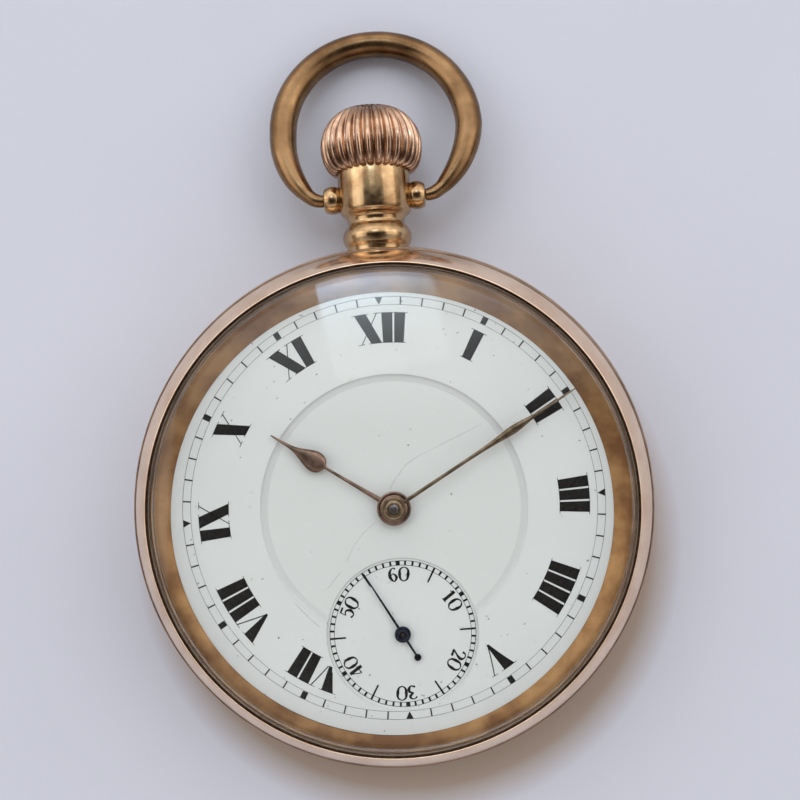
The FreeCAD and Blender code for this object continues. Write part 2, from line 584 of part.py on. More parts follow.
def half_bridge(cut_away):
    bridge = rod(0, 0, BRIDGE_LOW, BRIDGE_TOP, MOVEMENT_R)
    bridge = bridge.cut(rod(*BALANCE, 2, 4, 8.13))
    for piece in cut_away:
        bridge = bridge.cut(piece)
    return bridge


def make_barrel_bridge():
    bridge = half_bridge([box(-25, -25, 2, 25, -3.3, 4), box(-25, -5, 2, -13.2, 6.4, 4),
                          rod(*BARREL, 2, 2.92, 7.1), rod(*CROWN_WHEEL, 2, 3.3, 3.25),
                          box(-2.3, 15.62, 2.9, 2.3, 17.45, 4), rod(*BARREL, 2, 4, 0.55),
                          rod(*CENTRE, 2, 4, JEWEL_R)])
    cx, cy = CLICK
    bridge = bridge.cut(box(cx - 2.6, cy - 6.6, 2, cx + 1.2, cy + 1.2, 2.92))
    bridge = bridge.fuse([rod(*CROWN_WHEEL, 2.48, 3.4, 0.9), rod(cx, cy, 2.5, 3.0, 0.35)])
    bridge = drill(bridge, BARREL_PILLARS, 2, 4, 0.42)
    bridge = drill(bridge, BARREL_PILLARS, 2, 2.9, 0.95)
    return bridge.cut(rod(*CROWN_WHEEL, 2, 3.45, 0.87))


def make_train_bridge():
    bridge = half_bridge([box(-25, -3.6, 2, 25, 25, 4), box(-25, -25, 2, -10.9, 25, 4)])
    bridge = drill(bridge, [THIRD, FOURTH], 2, 4, JEWEL_R)
    bridge = drill(bridge, [ESCAPE], 2, 4, 0.34)
    bridge = drill(bridge, TRAIN_PILLARS + [SMALL_PILLAR], 2, 4, 0.3)
    return drill(bridge, TRAIN_PILLARS + [SMALL_PILLAR], 2, 2.9, 0.72)


def arm_between(start, end, start_half, end_half, low, high):
    """A tapered arm with round ends."""
    turn = math.radians(bearing(start, end) + 90)
    points = []
    for centre, half, side in ((start, start_half, 1), (start, start_half, -1),
                               (end, end_half, -1), (end, end_half, 1)):
        points.append((centre[0] + side * half * math.cos(turn), centre[1] + side * half * math.sin(turn)))
    return slab(points, low, high).fuse([rod(*start, low, high, start_half), rod(*end, low, high, end_half)])


def make_cocks():
    cock = arm_between(COCK_FOOT, BALANCE, 2.4, 1.7, 2.0, 2.62)
    cock = cock.fuse(rod(*COCK_FOOT, 2.5, PLATE_LOW - 0.02, 2.4))
    stud = rod(BALANCE[0] - 2.6, BALANCE[1] + 4.3, 2.5, 3.0, 0.2)
    boss = rod(*BALANCE, 1.72, 2.1, 0.65)
    cock = cock.fuse([boss, rod(BALANCE[0] - 2.6, BALANCE[1] + 4.3, 2.0, 2.62, 0.7), stud])
    cock = cock.cut(rod(*BALANCE, 2.2, 4, JEWEL_R))
    save("balance_cock", cock.cut(rod(*COCK_FOOT, 1, 7, 0.42)).cut(rod(*COCK_FOOT, 1, 2.31, 0.85)))
    pallet = arm_between(PALLET_FOOT, PALLET, 1.0, 0.75, 3.5, 3.95)
    pallet = pallet.fuse(rod(*PALLET_FOOT, 3.5, PLATE_LOW - 0.02, 1.0)).cut(rod(*PALLET_FOOT, 3, 3.94, 0.6))
    save("pallet_cock", pallet.cut(rod(*PALLET, 3, 4, 0.35)).cut(rod(*PALLET_FOOT, 3, 7, 0.3)))


def make_jewels():
    """Ring-shaped pivot jewels pressed into the plate, the bridges and the cocks."""
    gap = 0.02
    rings = []
    for place, pivot_r in ((THIRD, 0.12), (FOURTH, 0.2), (ESCAPE, 0.12), (PALLET, 0.12), (BALANCE, 0.1)):
        rings.append(ring(*place, PLATE_LOW + 0.1, 6.6, JEWEL_R - gap, pivot_r + FIT))
    for place, pivot_r in ((CENTRE, 0.25), (THIRD, 0.12), (FOURTH, 0.12)):
        rings.append(ring(*place, 2.95, 3.3, JEWEL_R - gap, pivot_r + FIT))
    rings.append(ring(*CENTRE, PLATE_LOW + 0.1, 6.6, JEWEL_R - gap, 0.35))
    rings.append(ring(*ESCAPE, 2.95, 3.3, 0.32, 0.17))
    rings.append(ring(*PALLET, 3.55, 3.85, 0.33, 0.17))
    rings.append(ring(*BALANCE, 2.3, 2.55, JEWEL_R - gap, 0.15))
    save("jewels", Part.makeCompound(rings))


def make_screws():
    bridge = [screw(x, y, 2.88, 5.2, 0.8) for x, y in BARREL_PILLARS]
    bridge += [screw(x, y, 2.88, 5.2, 0.56) for x, y in TRAIN_PILLARS + [SMALL_PILLAR]]
    bridge.append(screw(*COCK_FOOT, 2.3, 6.2, 0.8))
    bridge.append(screw(*PALLET_FOOT, 3.93, 6.2, 0.56))
    save("bridge_screws", Part.makeCompound(bridge))
    save("case_screws", Part.makeCompound([screw(x, y, 5.82, 6.9, 0.7) for x, y in CASE_SCREWS]))


make_case()
make_dial()
make_hands()
make_motion_work()
make_train()
make_escapement()
make_keyless()
save("main_plate", make_main_plate())
save("barrel_bridge", make_barrel_bridge())
save("train_bridge", make_train_bridge())
make_cocks()
make_jewels()
make_screws()
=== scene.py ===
import json
import math
import random

import bmesh
import bpy
from mathutils import Matrix, Vector


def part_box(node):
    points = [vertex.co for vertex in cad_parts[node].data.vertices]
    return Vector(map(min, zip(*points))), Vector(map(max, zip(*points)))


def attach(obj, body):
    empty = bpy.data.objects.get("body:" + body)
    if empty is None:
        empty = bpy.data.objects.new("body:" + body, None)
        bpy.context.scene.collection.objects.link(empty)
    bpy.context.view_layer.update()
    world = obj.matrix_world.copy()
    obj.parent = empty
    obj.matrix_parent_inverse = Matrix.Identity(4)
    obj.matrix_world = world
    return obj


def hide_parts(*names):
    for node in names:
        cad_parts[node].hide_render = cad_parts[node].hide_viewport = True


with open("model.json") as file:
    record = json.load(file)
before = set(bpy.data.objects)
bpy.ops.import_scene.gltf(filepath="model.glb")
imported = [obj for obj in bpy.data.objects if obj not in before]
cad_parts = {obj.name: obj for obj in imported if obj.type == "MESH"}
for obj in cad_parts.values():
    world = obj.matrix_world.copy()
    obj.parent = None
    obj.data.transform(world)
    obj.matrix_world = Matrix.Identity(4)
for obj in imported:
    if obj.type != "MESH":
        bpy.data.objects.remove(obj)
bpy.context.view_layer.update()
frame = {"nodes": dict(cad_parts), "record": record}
random.seed(11)

# Sizes, places and heights are in millimetres, and angles in degrees, unless a line says otherwise.
MM = 0.001
TAU = 2 * math.pi

# the case
STEM_Z = 5.2
RING_SEGMENTS = 256
GLASS_R = 22.98
GLASS_TOP = 12.59
GLASS_RISE = 1.8
GLASS_BORE = 22.6
BORE_TOP = 11.9
BORE_RISE = 1.6
REHAUT_R = 22.8
REHAUT_FOOT = 8.62
OPENING_R = 21.31
OPENING_SHIFT = (-0.22, -0.53)

# the crown and the bow
FLUTES = 30
FLUTE_STEPS = 8
FLUTE_DEPTH = 0.15  # of the crown's radius
CROWN_BORE = 3.3
CROWN_BORE_Y = 33.45
EAR_X = 4.2
EAR_Y = 30.65
BOW_TILT = 13.0
BOW_R = 9.45
BOW_RISE = 7.35
BOW_SKEW = 0.5
WIRE_SEGMENTS = 40

# the hands, with angles clockwise from 12
HOUR_ANGLE = 304.5
MINUTE_ANGLE = 60.3
SECONDS_ANGLE = 330.8
FULL_DOME_HALF = 0.3
GROOVE_DEPTH = 0.07

# the dial
DIAL_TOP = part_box("dial_ring")[1][2] / MM
CENTRE_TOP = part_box("dial_centre")[1][2] / MM
SECONDS_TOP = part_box("dial_seconds")[1][2] / MM
CENTRE_R = 12.9
SECONDS_R = 7.35
SECONDS_Y = -12.2
SECONDS_CENTRE = (0.0, SECONDS_Y)
SEAM = 0.1
EDGE_LIFT = 0.004
INK_HEIGHT = 0.012
DIAL_TURN = 0.4
CIRCLE_SEGMENTS = 240
CRACK_WANDER = 0.06
CRACK_WIDTHS = (0.02, 0.06)

# the numerals
HOURS = ("XII", "I", "II", "III", "IIII", "V", "", "VII", "VIII", "IX", "X", "XI")
NUMERAL_FOOT = 15.93
NUMERAL_H = 2.92
I_THICK = 0.99
V_WIDTH = 2.2
V_THICK = 1.1
X_WIDTH = 2.34
X_THICK = 1.04
THIN = 0.1
GAP = 0.17
SERIF = 0.055
OVERHANG = 0.24
DIGIT_FOOT = 5.07
DIGIT_MIDDLE = 5.7
DIGIT_H = 1.36
DIGIT_W = 0.9
DIGIT_SPACE = 0.13
PEN_WEIGHT = 1.3

# the scales: circles are (radius, width); marks are (step, shape), and a shape is its inner radius, its outer
# radius, its inner width and its outer width
TRACK_CIRCLES = ((20.35, 0.035), (19.58, 0.03))
TRACK_MARKS = (
    (15, (19.64, 20.33, 0.03, 0.72)),
    (5, (19.62, 20.33, 0.55, 0.58)),
    (1, (19.58, 20.34, 0.13, 0.14)))
SECONDS_CIRCLES = ((7.05, 0.05), (6.62, 0.05))
SECONDS_MARKS = (
    (10, (6.64, 7.03, 0.4, 0.42)),
    (5, (5.5, 7.03, 0.16, 0.2)),
    (1, (6.62, 7.05, 0.19, 0.2)))

# the rounded edges of the pieces that stay as they are
CAD_EDGE = 0.03
DIAL_EDGE = 0.13

# the room: the window pane, its distance and the floor are in metres
PANE = (0.17, 0.19)
PANE_POWER = 8.0
PANE_AWAY = 0.6
PANE_WAY = (-0.05, 0.337, 0.94)
PANE_TARGET = (0.3, 19.9, 11.3)
NORTH_GLOW = 0.85
FLOOR_SIZE = (1.8, 1.8)
# a painted shadow on the paper under the watch: its centre, and the radii where it starts to fade and where
# it is gone
PAINTED_SHADOW_CENTRE = (0.8, -5.2, 0)
PAINTED_SHADOW_RADII = (25.2, 28.8)

# the glass mirrors this share of the light straight on, and all of it at a glancing angle
STRAIGHT_SHINE = 0.04
GLANCE_POWER = 5.0

# the camera: its spot runs along its own right, up and back directions
ROLL = math.radians(3.9)
CAMERA_SPOT = (4.02, 9.81, 98.6)
CAMERA_SHIFT = (-0.045, 0.0075)
CAMERA_LENS = 42.1


# ---------------------------------------------------------------- node helpers
# The colour sockets of a Mix node, which has one set of sockets for each data type.
MIX_COLOUR_A = 6
MIX_COLOUR_B = 7
MIX_COLOUR = 2


def new_material(name):
    """An empty node material: the material, its nodes, its links and its output."""
    mat = bpy.data.materials.new(name)
    mat.use_nodes = True
    nodes = mat.node_tree.nodes
    nodes.clear()
    out = nodes.new("ShaderNodeOutputMaterial")
    return mat, nodes, mat.node_tree.links, out


def node(nodes, kind, **values):
    """A new node; each value goes to the input of that name, or to the node's own setting."""
    made = nodes.new(kind)
    for key, value in values.items():
        if key in made.inputs:
            made.inputs[key].default_value = value
        else:
            setattr(made, key, value)
    return made


def coords(nodes, links, stretch=(1, 1, 1)):
    """Object coordinates in millimetres, optionally stretched."""
    place = nodes.new("ShaderNodeTexCoord")
    mapping = nodes.new("ShaderNodeMapping")
    mapping.inputs["Scale"].default_value = [part / MM for part in stretch]
    links.new(place.outputs["Object"], mapping.inputs["Vector"])
    return mapping.outputs["Vector"]


def noise(nodes, links, vector, scale, detail=3.0, rough=0.55):
    """Noise whose scale is per millimetre when the vector is in millimetres."""
    made = node(nodes, "ShaderNodeTexNoise", Scale=scale, Detail=detail, Roughness=rough)
    links.new(vector, made.inputs["Vector"])
    return made.outputs["Fac"]


def ramp(nodes, links, value, stops):
    """Colours along a value, from (position, colour) stops."""
    made = nodes.new("ShaderNodeValToRGB")
    elements = made.color_ramp.elements
    while len(elements) < len(stops):
        elements.new(0.5)
    for element, (position, colour) in zip(elements, stops):
        element.position = position
        element.color = (*colour, 1)
    links.new(value, made.inputs["Fac"])
    return made.outputs["Color"]


def remap(nodes, links, value, low, high, to_low, to_high):
    """The value from low..high stretched to to_low..to_high and clamped there."""
    made = nodes.new("ShaderNodeMapRange")
    for key, number in (("From Min", low), ("From Max", high), ("To Min", to_low), ("To Max", to_high)):
        made.inputs[key].default_value = number
    links.new(value, made.inputs["Value"])
    return made.outputs["Result"]


def bump(nodes, links, height, strength, distance_mm, under=None):
    """A bumped normal, on top of another one when that is given."""
    made = node(nodes, "ShaderNodeBump", Strength=strength, Distance=distance_mm * MM)
    links.new(height, made.inputs["Height"])
    if under:
        links.new(under, made.inputs["Normal"])
    return made.outputs["Normal"]


def metal(name, light, dark, rough=(0.1, 0.25), wear=2.5, scratch=0.12, pits=0.06):
    """Worn polished metal: tone drift, smudges in the gloss, fine scratches and small pits."""
    mat, nodes, links, out = new_material(name)
    vector = coords(nodes, links)
    tone = noise(nodes, links, vector, wear * 0.12, 4.0)
    colour = ramp(nodes, links, tone, [(0.36, dark), (0.62, light)])
    smudge = noise(nodes, links, vector, wear * 0.35, 5.0, 0.6)
    gloss = remap(nodes, links, smudge, 0.35, 0.7, rough[0], rough[1])
    one_way = coords(nodes, links, (0.08, 4.0, 1.0))
    scratches = noise(nodes, links, one_way, 3.0, 4.0, 0.7)
    pit = noise(nodes, links, vector, 5.0, 2.0, 0.5)
    pit_mask = remap(nodes, links, pit, 0.62, 0.75, 0.0, -1.0)
    normal = bump(nodes, links, scratches, scratch, 0.006)
    normal = bump(nodes, links, pit_mask, pits, 0.03, normal)
    shader = node(nodes, "ShaderNodeBsdfPrincipled", Metallic=1.0)
    links.new(colour, shader.inputs["Base Color"])
    links.new(gloss, shader.inputs["Roughness"])
    links.new(normal, shader.inputs["Normal"])
    links.new(shader.outputs["BSDF"], out.inputs["Surface"])
    return mat


def enamel(name, white, shade, specks=True):
    """Glossy fired enamel with faint cloudiness, tiny specks and a slight orange-peel."""
    mat, nodes, links, out = new_material(name)
    vector = coords(nodes, links)
    cloud = noise(nodes, links, vector, 0.12, 4.0)
    colour = ramp(nodes, links, cloud, [(0.3, shade), (0.7, white)])
    if specks:
        dust = noise(nodes, links, vector, 2.6, 1.0, 0.4)
        mask = remap(nodes, links, dust, 0.765, 0.8, 0.0, 0.7)
        mix = node(nodes, "ShaderNodeMix", data_type="RGBA")
        links.new(mask, mix.inputs["Factor"])
        links.new(colour, mix.inputs[MIX_COLOUR_A])
        mix.inputs[MIX_COLOUR_B].default_value = (0.16, 0.13, 0.10, 1)
        colour = mix.outputs[MIX_COLOUR]
    peel = noise(nodes, links, vector, 1.2, 2.0)
    normal = bump(nodes, links, peel, 0.05, 0.01)
    shader = node(nodes, "ShaderNodeBsdfPrincipled", Roughness=0.16)
    shader.inputs["Coat Weight"].default_value = 0.3
    shader.inputs["Specular IOR Level"].default_value = 0.35
    links.new(colour, shader.inputs["Base Color"])
    links.new(normal, shader.inputs["Normal"])
    links.new(shader.outputs["BSDF"], out.inputs["Surface"])
    return mat


def ink(name, dark, worn):
    """A dull surface that wanders between two colours, used for print, for cracks and for the dirt and
    painted shade in the gap round the glass.
    """
    mat, nodes, links, out = new_material(name)
    vector = coords(nodes, links)
    patches = noise(nodes, links, vector, 3.0)
    colour = ramp(nodes, links, patches, [(0.35, dark), (0.7, worn)])
    shader = node(nodes, "ShaderNodeBsdfPrincipled", Roughness=0.45)
    shader.inputs["Specular IOR Level"].default_value = 0.15
    links.new(colour, shader.inputs["Base Color"])
    links.new(shader.outputs["BSDF"], out.inputs["Surface"])
    return mat


def crystal_material():
    """Thin watch glass: clear straight on, mirror-like at a glancing angle, with faint scratches."""
    mat, nodes, links, out = new_material("crystal_glass")
    vector = coords(nodes, links)
    hair = noise(nodes, links, coords(nodes, links, (6.0, 0.25, 1.0)), 2.0, 3.0)
    normal = bump(nodes, links, hair, 0.04, 0.004)
    facing = node(nodes, "ShaderNodeLayerWeight", Blend=0.5)
    links.new(normal, facing.inputs["Normal"])
    glance = node(nodes, "ShaderNodeMath", operation="POWER")
    links.new(facing.outputs["Facing"], glance.inputs[0])
    glance.inputs[1].default_value = GLANCE_POWER
    shine_share = remap(nodes, links, glance.outputs[0], 0.0, 1.0, STRAIGHT_SHINE, 1.0)
    haze = remap(nodes, links, noise(nodes, links, vector, 0.2), 0.3, 0.7, 0.02, 0.05)
    clear = node(nodes, "ShaderNodeBsdfTransparent", Color=(0.985, 0.99, 0.99, 1))
    shine = node(nodes, "ShaderNodeBsdfGlossy", Color=(1, 1, 1, 1))
    links.new(haze, shine.inputs["Roughness"])
    links.new(normal, shine.inputs["Normal"])
    mix = nodes.new("ShaderNodeMixShader")
    links.new(shine_share, mix.inputs["Fac"])
    links.new(clear.outputs[0], mix.inputs[1])
    links.new(shine.outputs[0], mix.inputs[2])
    links.new(mix.outputs[0], out.inputs["Surface"])
    return mat


def ruby_material():
    """Clear red stone with a slightly uneven colour."""
    mat, nodes, links, out = new_material("ruby")
    vector = coords(nodes, links)
    cloud = noise(nodes, links, vector, 2.0)
    colour = ramp(nodes, links, cloud, [(0.3, (0.30, 0.01, 0.04)), (0.7, (0.5, 0.03, 0.09))])
    shader = node(nodes, "ShaderNodeBsdfPrincipled", Roughness=0.08)
    shader.inputs["Transmission Weight"].default_value = 0.35
    links.new(colour, shader.inputs["Base Color"])
    links.new(shader.outputs["BSDF"], out.inputs["Surface"])
    return mat


def paper_material():
    """Pale paper with a painted warm shadow under the watch, which stands in for its shadow and for the light
    the gold throws on it.
    """
    mat, nodes, links, out = new_material("pale_floor")
    vector = coords(nodes, links)
    plain = ramp(nodes, links, noise(nodes, links, vector, 0.02, 5.0),
                 [(0.3, (0.56, 0.568, 0.628)), (0.7, (0.59, 0.598, 0.658))])
    place = nodes.new("ShaderNodeNewGeometry")
    below = node(nodes, "ShaderNodeVectorMath", operation="DISTANCE")
    links.new(place.outputs["Position"], below.inputs[0])
    below.inputs[1].default_value = [part * MM for part in PAINTED_SHADOW_CENTRE]
    inner, outer = (radius * MM for radius in PAINTED_SHADOW_RADII)
    away = remap(nodes, links, below.outputs["Value"], inner, outer, 0.0, 1.0)
    # painted shadow: darker and warmer under the case, fading out between the two radii
    warm = ramp(nodes, links, away, [
        (0.0, (0.64, 0.50, 0.37)), (0.35, (0.78, 0.69, 0.61)), (1.0, (1.0, 1.0, 1.0))])
    blend = node(nodes, "ShaderNodeVectorMath", operation="MULTIPLY")
    links.new(plain, blend.inputs[0])
    links.new(warm, blend.inputs[1])
    colour = blend.outputs["Vector"]
    grain = noise(nodes, links, vector, 6.0, 3.0)
    normal = bump(nodes, links, grain, 0.08, 0.03)
    shader = node(nodes, "ShaderNodeBsdfPrincipled", Roughness=0.75)
    shader.inputs["Specular IOR Level"].default_value = 0.2
    links.new(colour, shader.inputs["Base Color"])
    links.new(normal, shader.inputs["Normal"])
    links.new(shader.outputs["BSDF"], out.inputs["Surface"])
    return mat


def window_material():
    """Daylight through a window: bluish and strongest along one edge, fading to nothing at the other."""
    mat, nodes, links, out = new_material("window_daylight")
    place = nodes.new("ShaderNodeTexCoord")
    split = nodes.new("ShaderNodeSeparateXYZ")
    links.new(place.outputs["Object"], split.inputs["Vector"])
    rise = remap(nodes, links, split.outputs["Y"], -PANE[1] / 2, PANE[1] / 2, 1.0, 0.0)
    power = ramp(nodes, links, rise, [
        (0.0, (0.0, 0.0, 0.0)), (0.06, (0.12, 0.12, 0.12)), (0.28, (0.15, 0.16, 0.16)),
        (0.53, (0.23, 0.27, 0.29)), (0.67, (0.38, 0.48, 0.56)), (0.84, (0.55, 0.74, 1.0))])
    veil = noise(nodes, links, place.outputs["Object"], 6.0, 2.0)
    share = remap(nodes, links, veil, 0.3, 0.7, PANE_POWER * 0.85, PANE_POWER * 1.1)
    glow = nodes.new("ShaderNodeEmission")
    links.new(power, glow.inputs["Color"])
    links.new(share, glow.inputs["Strength"])
    links.new(glow.outputs[0], out.inputs["Surface"])
    return mat


MATERIALS = {
    "rose_gold": metal("rose_gold", (0.88, 0.67, 0.50), (0.76, 0.54, 0.38), (0.12, 0.24)),
    "crown_gold": metal("crown_gold", (0.54, 0.35, 0.235), (0.26, 0.15, 0.095), (0.16, 0.3), 4.0, 0.1),
    # the bow's gold is the pendant's antique gold darkened: painted shade for the dark reflections on the
    # wire
    "bow_gold_painted_shade": metal("bow_gold_painted_shade", (0.26, 0.15, 0.07), (0.12, 0.063, 0.028), (0.2, 0.36), 1.6, 0.05, 0.03),
    "antique_gold": metal("antique_gold", (0.56, 0.38, 0.20), (0.30, 0.175, 0.085), (0.12, 0.28), 3.5, 0.2),
    # a darker, duller gold: painted shade on the line where the bezel meets the band and on the lip in the
    # gap round the glass
    "rim_gold_painted_shade": metal("rim_gold_painted_shade", (0.36, 0.25, 0.18), (0.22, 0.15, 0.11), (0.4, 0.55)),
    "brass_ring": metal("brass_ring", (0.40, 0.225, 0.095), (0.20, 0.095, 0.04), (0.36, 0.5), 2.0, 0.02, 0.0),
    "enamel": enamel("enamel", (0.79, 0.805, 0.775), (0.76, 0.775, 0.745)),
    "enamel_centre": enamel("enamel_centre", (0.77, 0.785, 0.75), (0.74, 0.755, 0.72)),
    # greyer enamel: painted shade on the slopes round the sunk dials
    "enamel_edge_painted_shade": enamel("enamel_edge_painted_shade", (0.70, 0.712, 0.685), (0.66, 0.67, 0.645), False),
    "hand_copper": metal("hand_copper", (0.33, 0.205, 0.15), (0.12, 0.08, 0.055), (0.3, 0.5), 6.0, 0.25),
    "hand_bronze": metal("hand_bronze", (0.27, 0.19, 0.115), (0.11, 0.075, 0.045), (0.28, 0.45), 8.0, 0.2),
    "blued_steel": metal("blued_steel", (0.035, 0.04, 0.06), (0.015, 0.015, 0.025), (0.2, 0.35), 6.0, 0.1),
    "gilt_brass": metal("gilt_brass", (0.78, 0.58, 0.28), (0.70, 0.49, 0.22), (0.38, 0.5), 4.0, 0.1),
    "train_brass": metal("train_brass", (0.80, 0.60, 0.30), (0.68, 0.47, 0.2), (0.15, 0.3), 4.0, 0.1),
    "steel": metal("steel", (0.62, 0.62, 0.63), (0.45, 0.45, 0.47), (0.12, 0.28), 4.0, 0.1),
    "dull_steel": metal("dull_steel", (0.20, 0.18, 0.17), (0.07, 0.06, 0.055), (0.3, 0.5), 8.0, 0.1),
    "spring_steel": metal("spring_steel", (0.10, 0.14, 0.30), (0.06, 0.08, 0.18), (0.2, 0.3), 4.0, 0.1),
    "crystal_glass": crystal_material(),
    "ruby": ruby_material(),
}
INK = ink("dial_ink", (0.006, 0.006, 0.006), (0.02, 0.018, 0.017))
# near-black dirt and painted shade for the gap round the glass
GAP_DIRT_AND_SHADE = ink("gap_dirt_and_shade", (0.012, 0.008, 0.005), (0.06, 0.04, 0.025))
CRACK = ink("crack_line", (0.38, 0.375, 0.36), (0.50, 0.50, 0.47))
PAPER = paper_material()


# ---------------------------------------------------------------- mesh helpers
def add_object(name, bm, material, body, smooth=True, replaces=()):
    """A finished piece in millimetres becomes an object riding a body of the frame."""
    bmesh.ops.recalc_face_normals(bm, faces=bm.faces[:])
    bmesh.ops.scale(bm, vec=(MM, MM, MM), verts=bm.verts[:])
    mesh = bpy.data.meshes.new(name)
    bm.to_mesh(mesh)
    bm.free()
    for face in mesh.polygons:
        face.use_smooth = smooth
    obj = bpy.data.objects.new(name, mesh)
    bpy.context.collection.objects.link(obj)
    mesh.materials.append(material)
    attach(obj, body)
    if replaces:
        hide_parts(*replaces)


def bridge(bm, rows, closed=True):
    """Joins rows of vertices with quads; closed rows are joined from their last vertex to their first too."""
    for low, high in zip(rows, rows[1:]):
        for index in range(len(low) if closed else len(low) - 1):
            nxt = (index + 1) % len(low)
            bm.faces.new((low[index], low[nxt], high[nxt], high[index]))


def lathe(bm, profile, segments=192, along_stem=False, closed=True, centre=(0.0, 0.0)):
    """Revolves (radius, height) points about the vertical through centre, or about the stem."""
    rings = []
    for radius, height in profile:
        row = []
        if radius < 1e-6:
            spot = (0, height, STEM_Z) if along_stem else (centre[0], centre[1], height)
            row = [bm.verts.new(spot)] * segments
        else:
            for index in range(segments):
                angle = TAU * index / segments
                a, b = radius * math.cos(angle), radius * math.sin(angle)
                spot = (a, height, STEM_Z + b) if along_stem else (centre[0] + a, centre[1] + b, height)
                row.append(bm.verts.new(spot))
        rings.append(row)
    pairs = list(zip(rings, rings[1:]))
    if closed:
        pairs.append((rings[-1], rings[0]))
    for low, high in pairs:
        for index in range(segments):
            nxt = (index + 1) % segments
            corners = []
            for vert in (low[index], low[nxt], high[nxt], high[index]):
                if vert not in corners:
                    corners.append(vert)
            if len(corners) > 2:
                bm.faces.new(corners)


def arc(points, steps=10):
    """A smooth Catmull-Rom line through points of two or three numbers."""
    out = []
    padded = [points[0]] + list(points) + [points[-1]]
    for index in range(1, len(padded) - 2):
        p0, p1, p2, p3 = (Vector(p) for p in padded[index - 1:index + 3])
        for step in range(steps):
            t = step / steps
            spot = 0.5 * ((2 * p1) + (p2 - p0) * t + (2 * p0 - 5 * p1 + 4 * p2 - p3) * t * t
                          + (3 * p1 - p0 - 3 * p2 + p3) * t ** 3)
            out.append(tuple(spot))
    out.append(tuple(points[-1]))
    return out


def sideways(line, index):
    """The unit vector across a line of points at this index, on its left."""
    before = Vector(line[max(index - 1, 0)][:2])
    after = Vector(line[min(index + 1, len(line) - 1)][:2])
    along = (after - before).normalized()
    return Vector((-along.y, along.x))


def blade(bm, stations, low, peak, edge):
    """A hand's arm along +Y: (y, half width) stations, domed from edge height up to peak."""
    rows = []
    for y, half in stations:
        side_z = low + edge
        ridge_z = side_z + (peak - side_z) * min(1.0, half / FULL_DOME_HALF) ** 0.5
        slope_z = side_z + (ridge_z - side_z) * 0.72
        section = [(-half, low), (-half, side_z), (-half * 0.5, slope_z), (0, ridge_z),
                   (half * 0.5, slope_z), (half, side_z), (half, low)]
        rows.append([bm.verts.new((x, y, z)) for x, z in section])
    bridge(bm, rows)
    bm.faces.new(rows[0])
    bm.faces.new(rows[-1][::-1])


def clock(radius, degrees, centre=(0.0, 0.0)):
    """The point at this radius, degrees clockwise from 12."""
    angle = math.radians(degrees)
    return (centre[0] + radius * math.sin(angle), centre[1] + radius * math.cos(angle))


def knob(bm, profile, segments, side, place, closed=True):
    """A turned knob whose axis points to this side, -1 for left and 1 for right."""
    before = set(bm.verts)
    lathe(bm, profile, segments, closed=closed)
    fresh = [v for v in bm.verts if v not in before]
    bmesh.ops.rotate(bm, verts=fresh, cent=(0, 0, 0), matrix=Matrix.Rotation(side * math.pi / 2, 3, "Y"))
    bmesh.ops.translate(bm, verts=fresh, vec=place)


# ---------------------------------------------------------------- case
def add_bezel_ring(name, profile, material, replaces=()):
    """A turned ring that lifts off with the bezel."""
    bm = bmesh.new()
    lathe(bm, profile, RING_SEGMENTS)
    add_object(name, bm, material, "bezel", replaces=replaces)


def build_bezel():
    """The bezel with its polished rim and slope, a dark line at its foot that paints the shade where it meets
    the band, and fine rings round the glass: a near-black one of dirt and painted shade in the gap, a dim
    gold lip in painted shade and a gilt seat.
    """
    rim = arc([(24.95, 7.48), (25.07, 7.6), (25.11, 7.95), (25.09, 8.3), (25.01, 8.5), (24.93, 8.6)], 5)
    slope = arc([(24.86, 8.68), (24.6, 9.16), (24.22, 9.78), (23.8, 10.34), (23.4, 10.8)], 6)
    seat = [(23.35, 10.84), (23.31, 10.83), (23.29, 10.76), (23.28, 10.27), (22.85, 10.14),
            (22.85, 8.28), (24.05, 8.28), (24.05, 7.48)]
    add_bezel_ring("bezel_ring", rim + slope + seat, MATERIALS["rose_gold"], ("bezel",))

    # a dark ring at the bezel's foot: painted shade where the bezel meets the band
    line = [(24.93, 8.5), (25.06, 8.5), (25.04, 8.54), (24.97, 8.62), (24.92, 8.66), (24.88, 8.6)]
    # a near-black ring in the gap round the glass: dirt and painted shade
    gap = [(22.995, 10.2), (23.27, 10.28), (23.27, 10.6), (22.995, 10.55)]
    ledge = [(22.83, 9.9), (22.85, 10.0), (22.98, 10.2), (22.98, 10.28), (22.83, 10.2)]
    lip = [(23.02, 10.57), (23.09, 10.58), (23.09, 10.66), (23.05, 10.7), (23.02, 10.66)]
    add_bezel_ring("bezel_line", line, MATERIALS["rim_gold_painted_shade"])
    add_bezel_ring("crystal_gap", gap, GAP_DIRT_AND_SHADE)
    add_bezel_ring("crystal_seat", ledge, MATERIALS["brass_ring"])
    add_bezel_ring("crystal_rim", lip, MATERIALS["rim_gold_painted_shade"])


def build_rehaut():
    """The gilt cone under the glass; its opening is a little off the centre, its outer wall isn't."""
    bm = bmesh.new()
    cone = arc([(OPENING_R, 8.64), (OPENING_R + 0.08, 8.71), (21.9, 9.06), (22.4, 9.44), (22.74, 9.76)], 6)
    lathe(bm, cone + [(REHAUT_R, 9.8), (REHAUT_R, 8.27), (22.07, 8.27), (22.07, REHAUT_FOOT)], RING_SEGMENTS)
    for vert in bm.verts:
        if vert.co.z > REHAUT_FOOT + 0.01:
            radius = math.hypot(vert.co.x, vert.co.y)
            share = min(1.0, (REHAUT_R - radius) / (REHAUT_R - OPENING_R))
            vert.co.x += OPENING_SHIFT[0] * share
            vert.co.y += OPENING_SHIFT[1] * share
    add_object("rehaut", bm, MATERIALS["brass_ring"], "case", replaces=("rehaut_ring",))


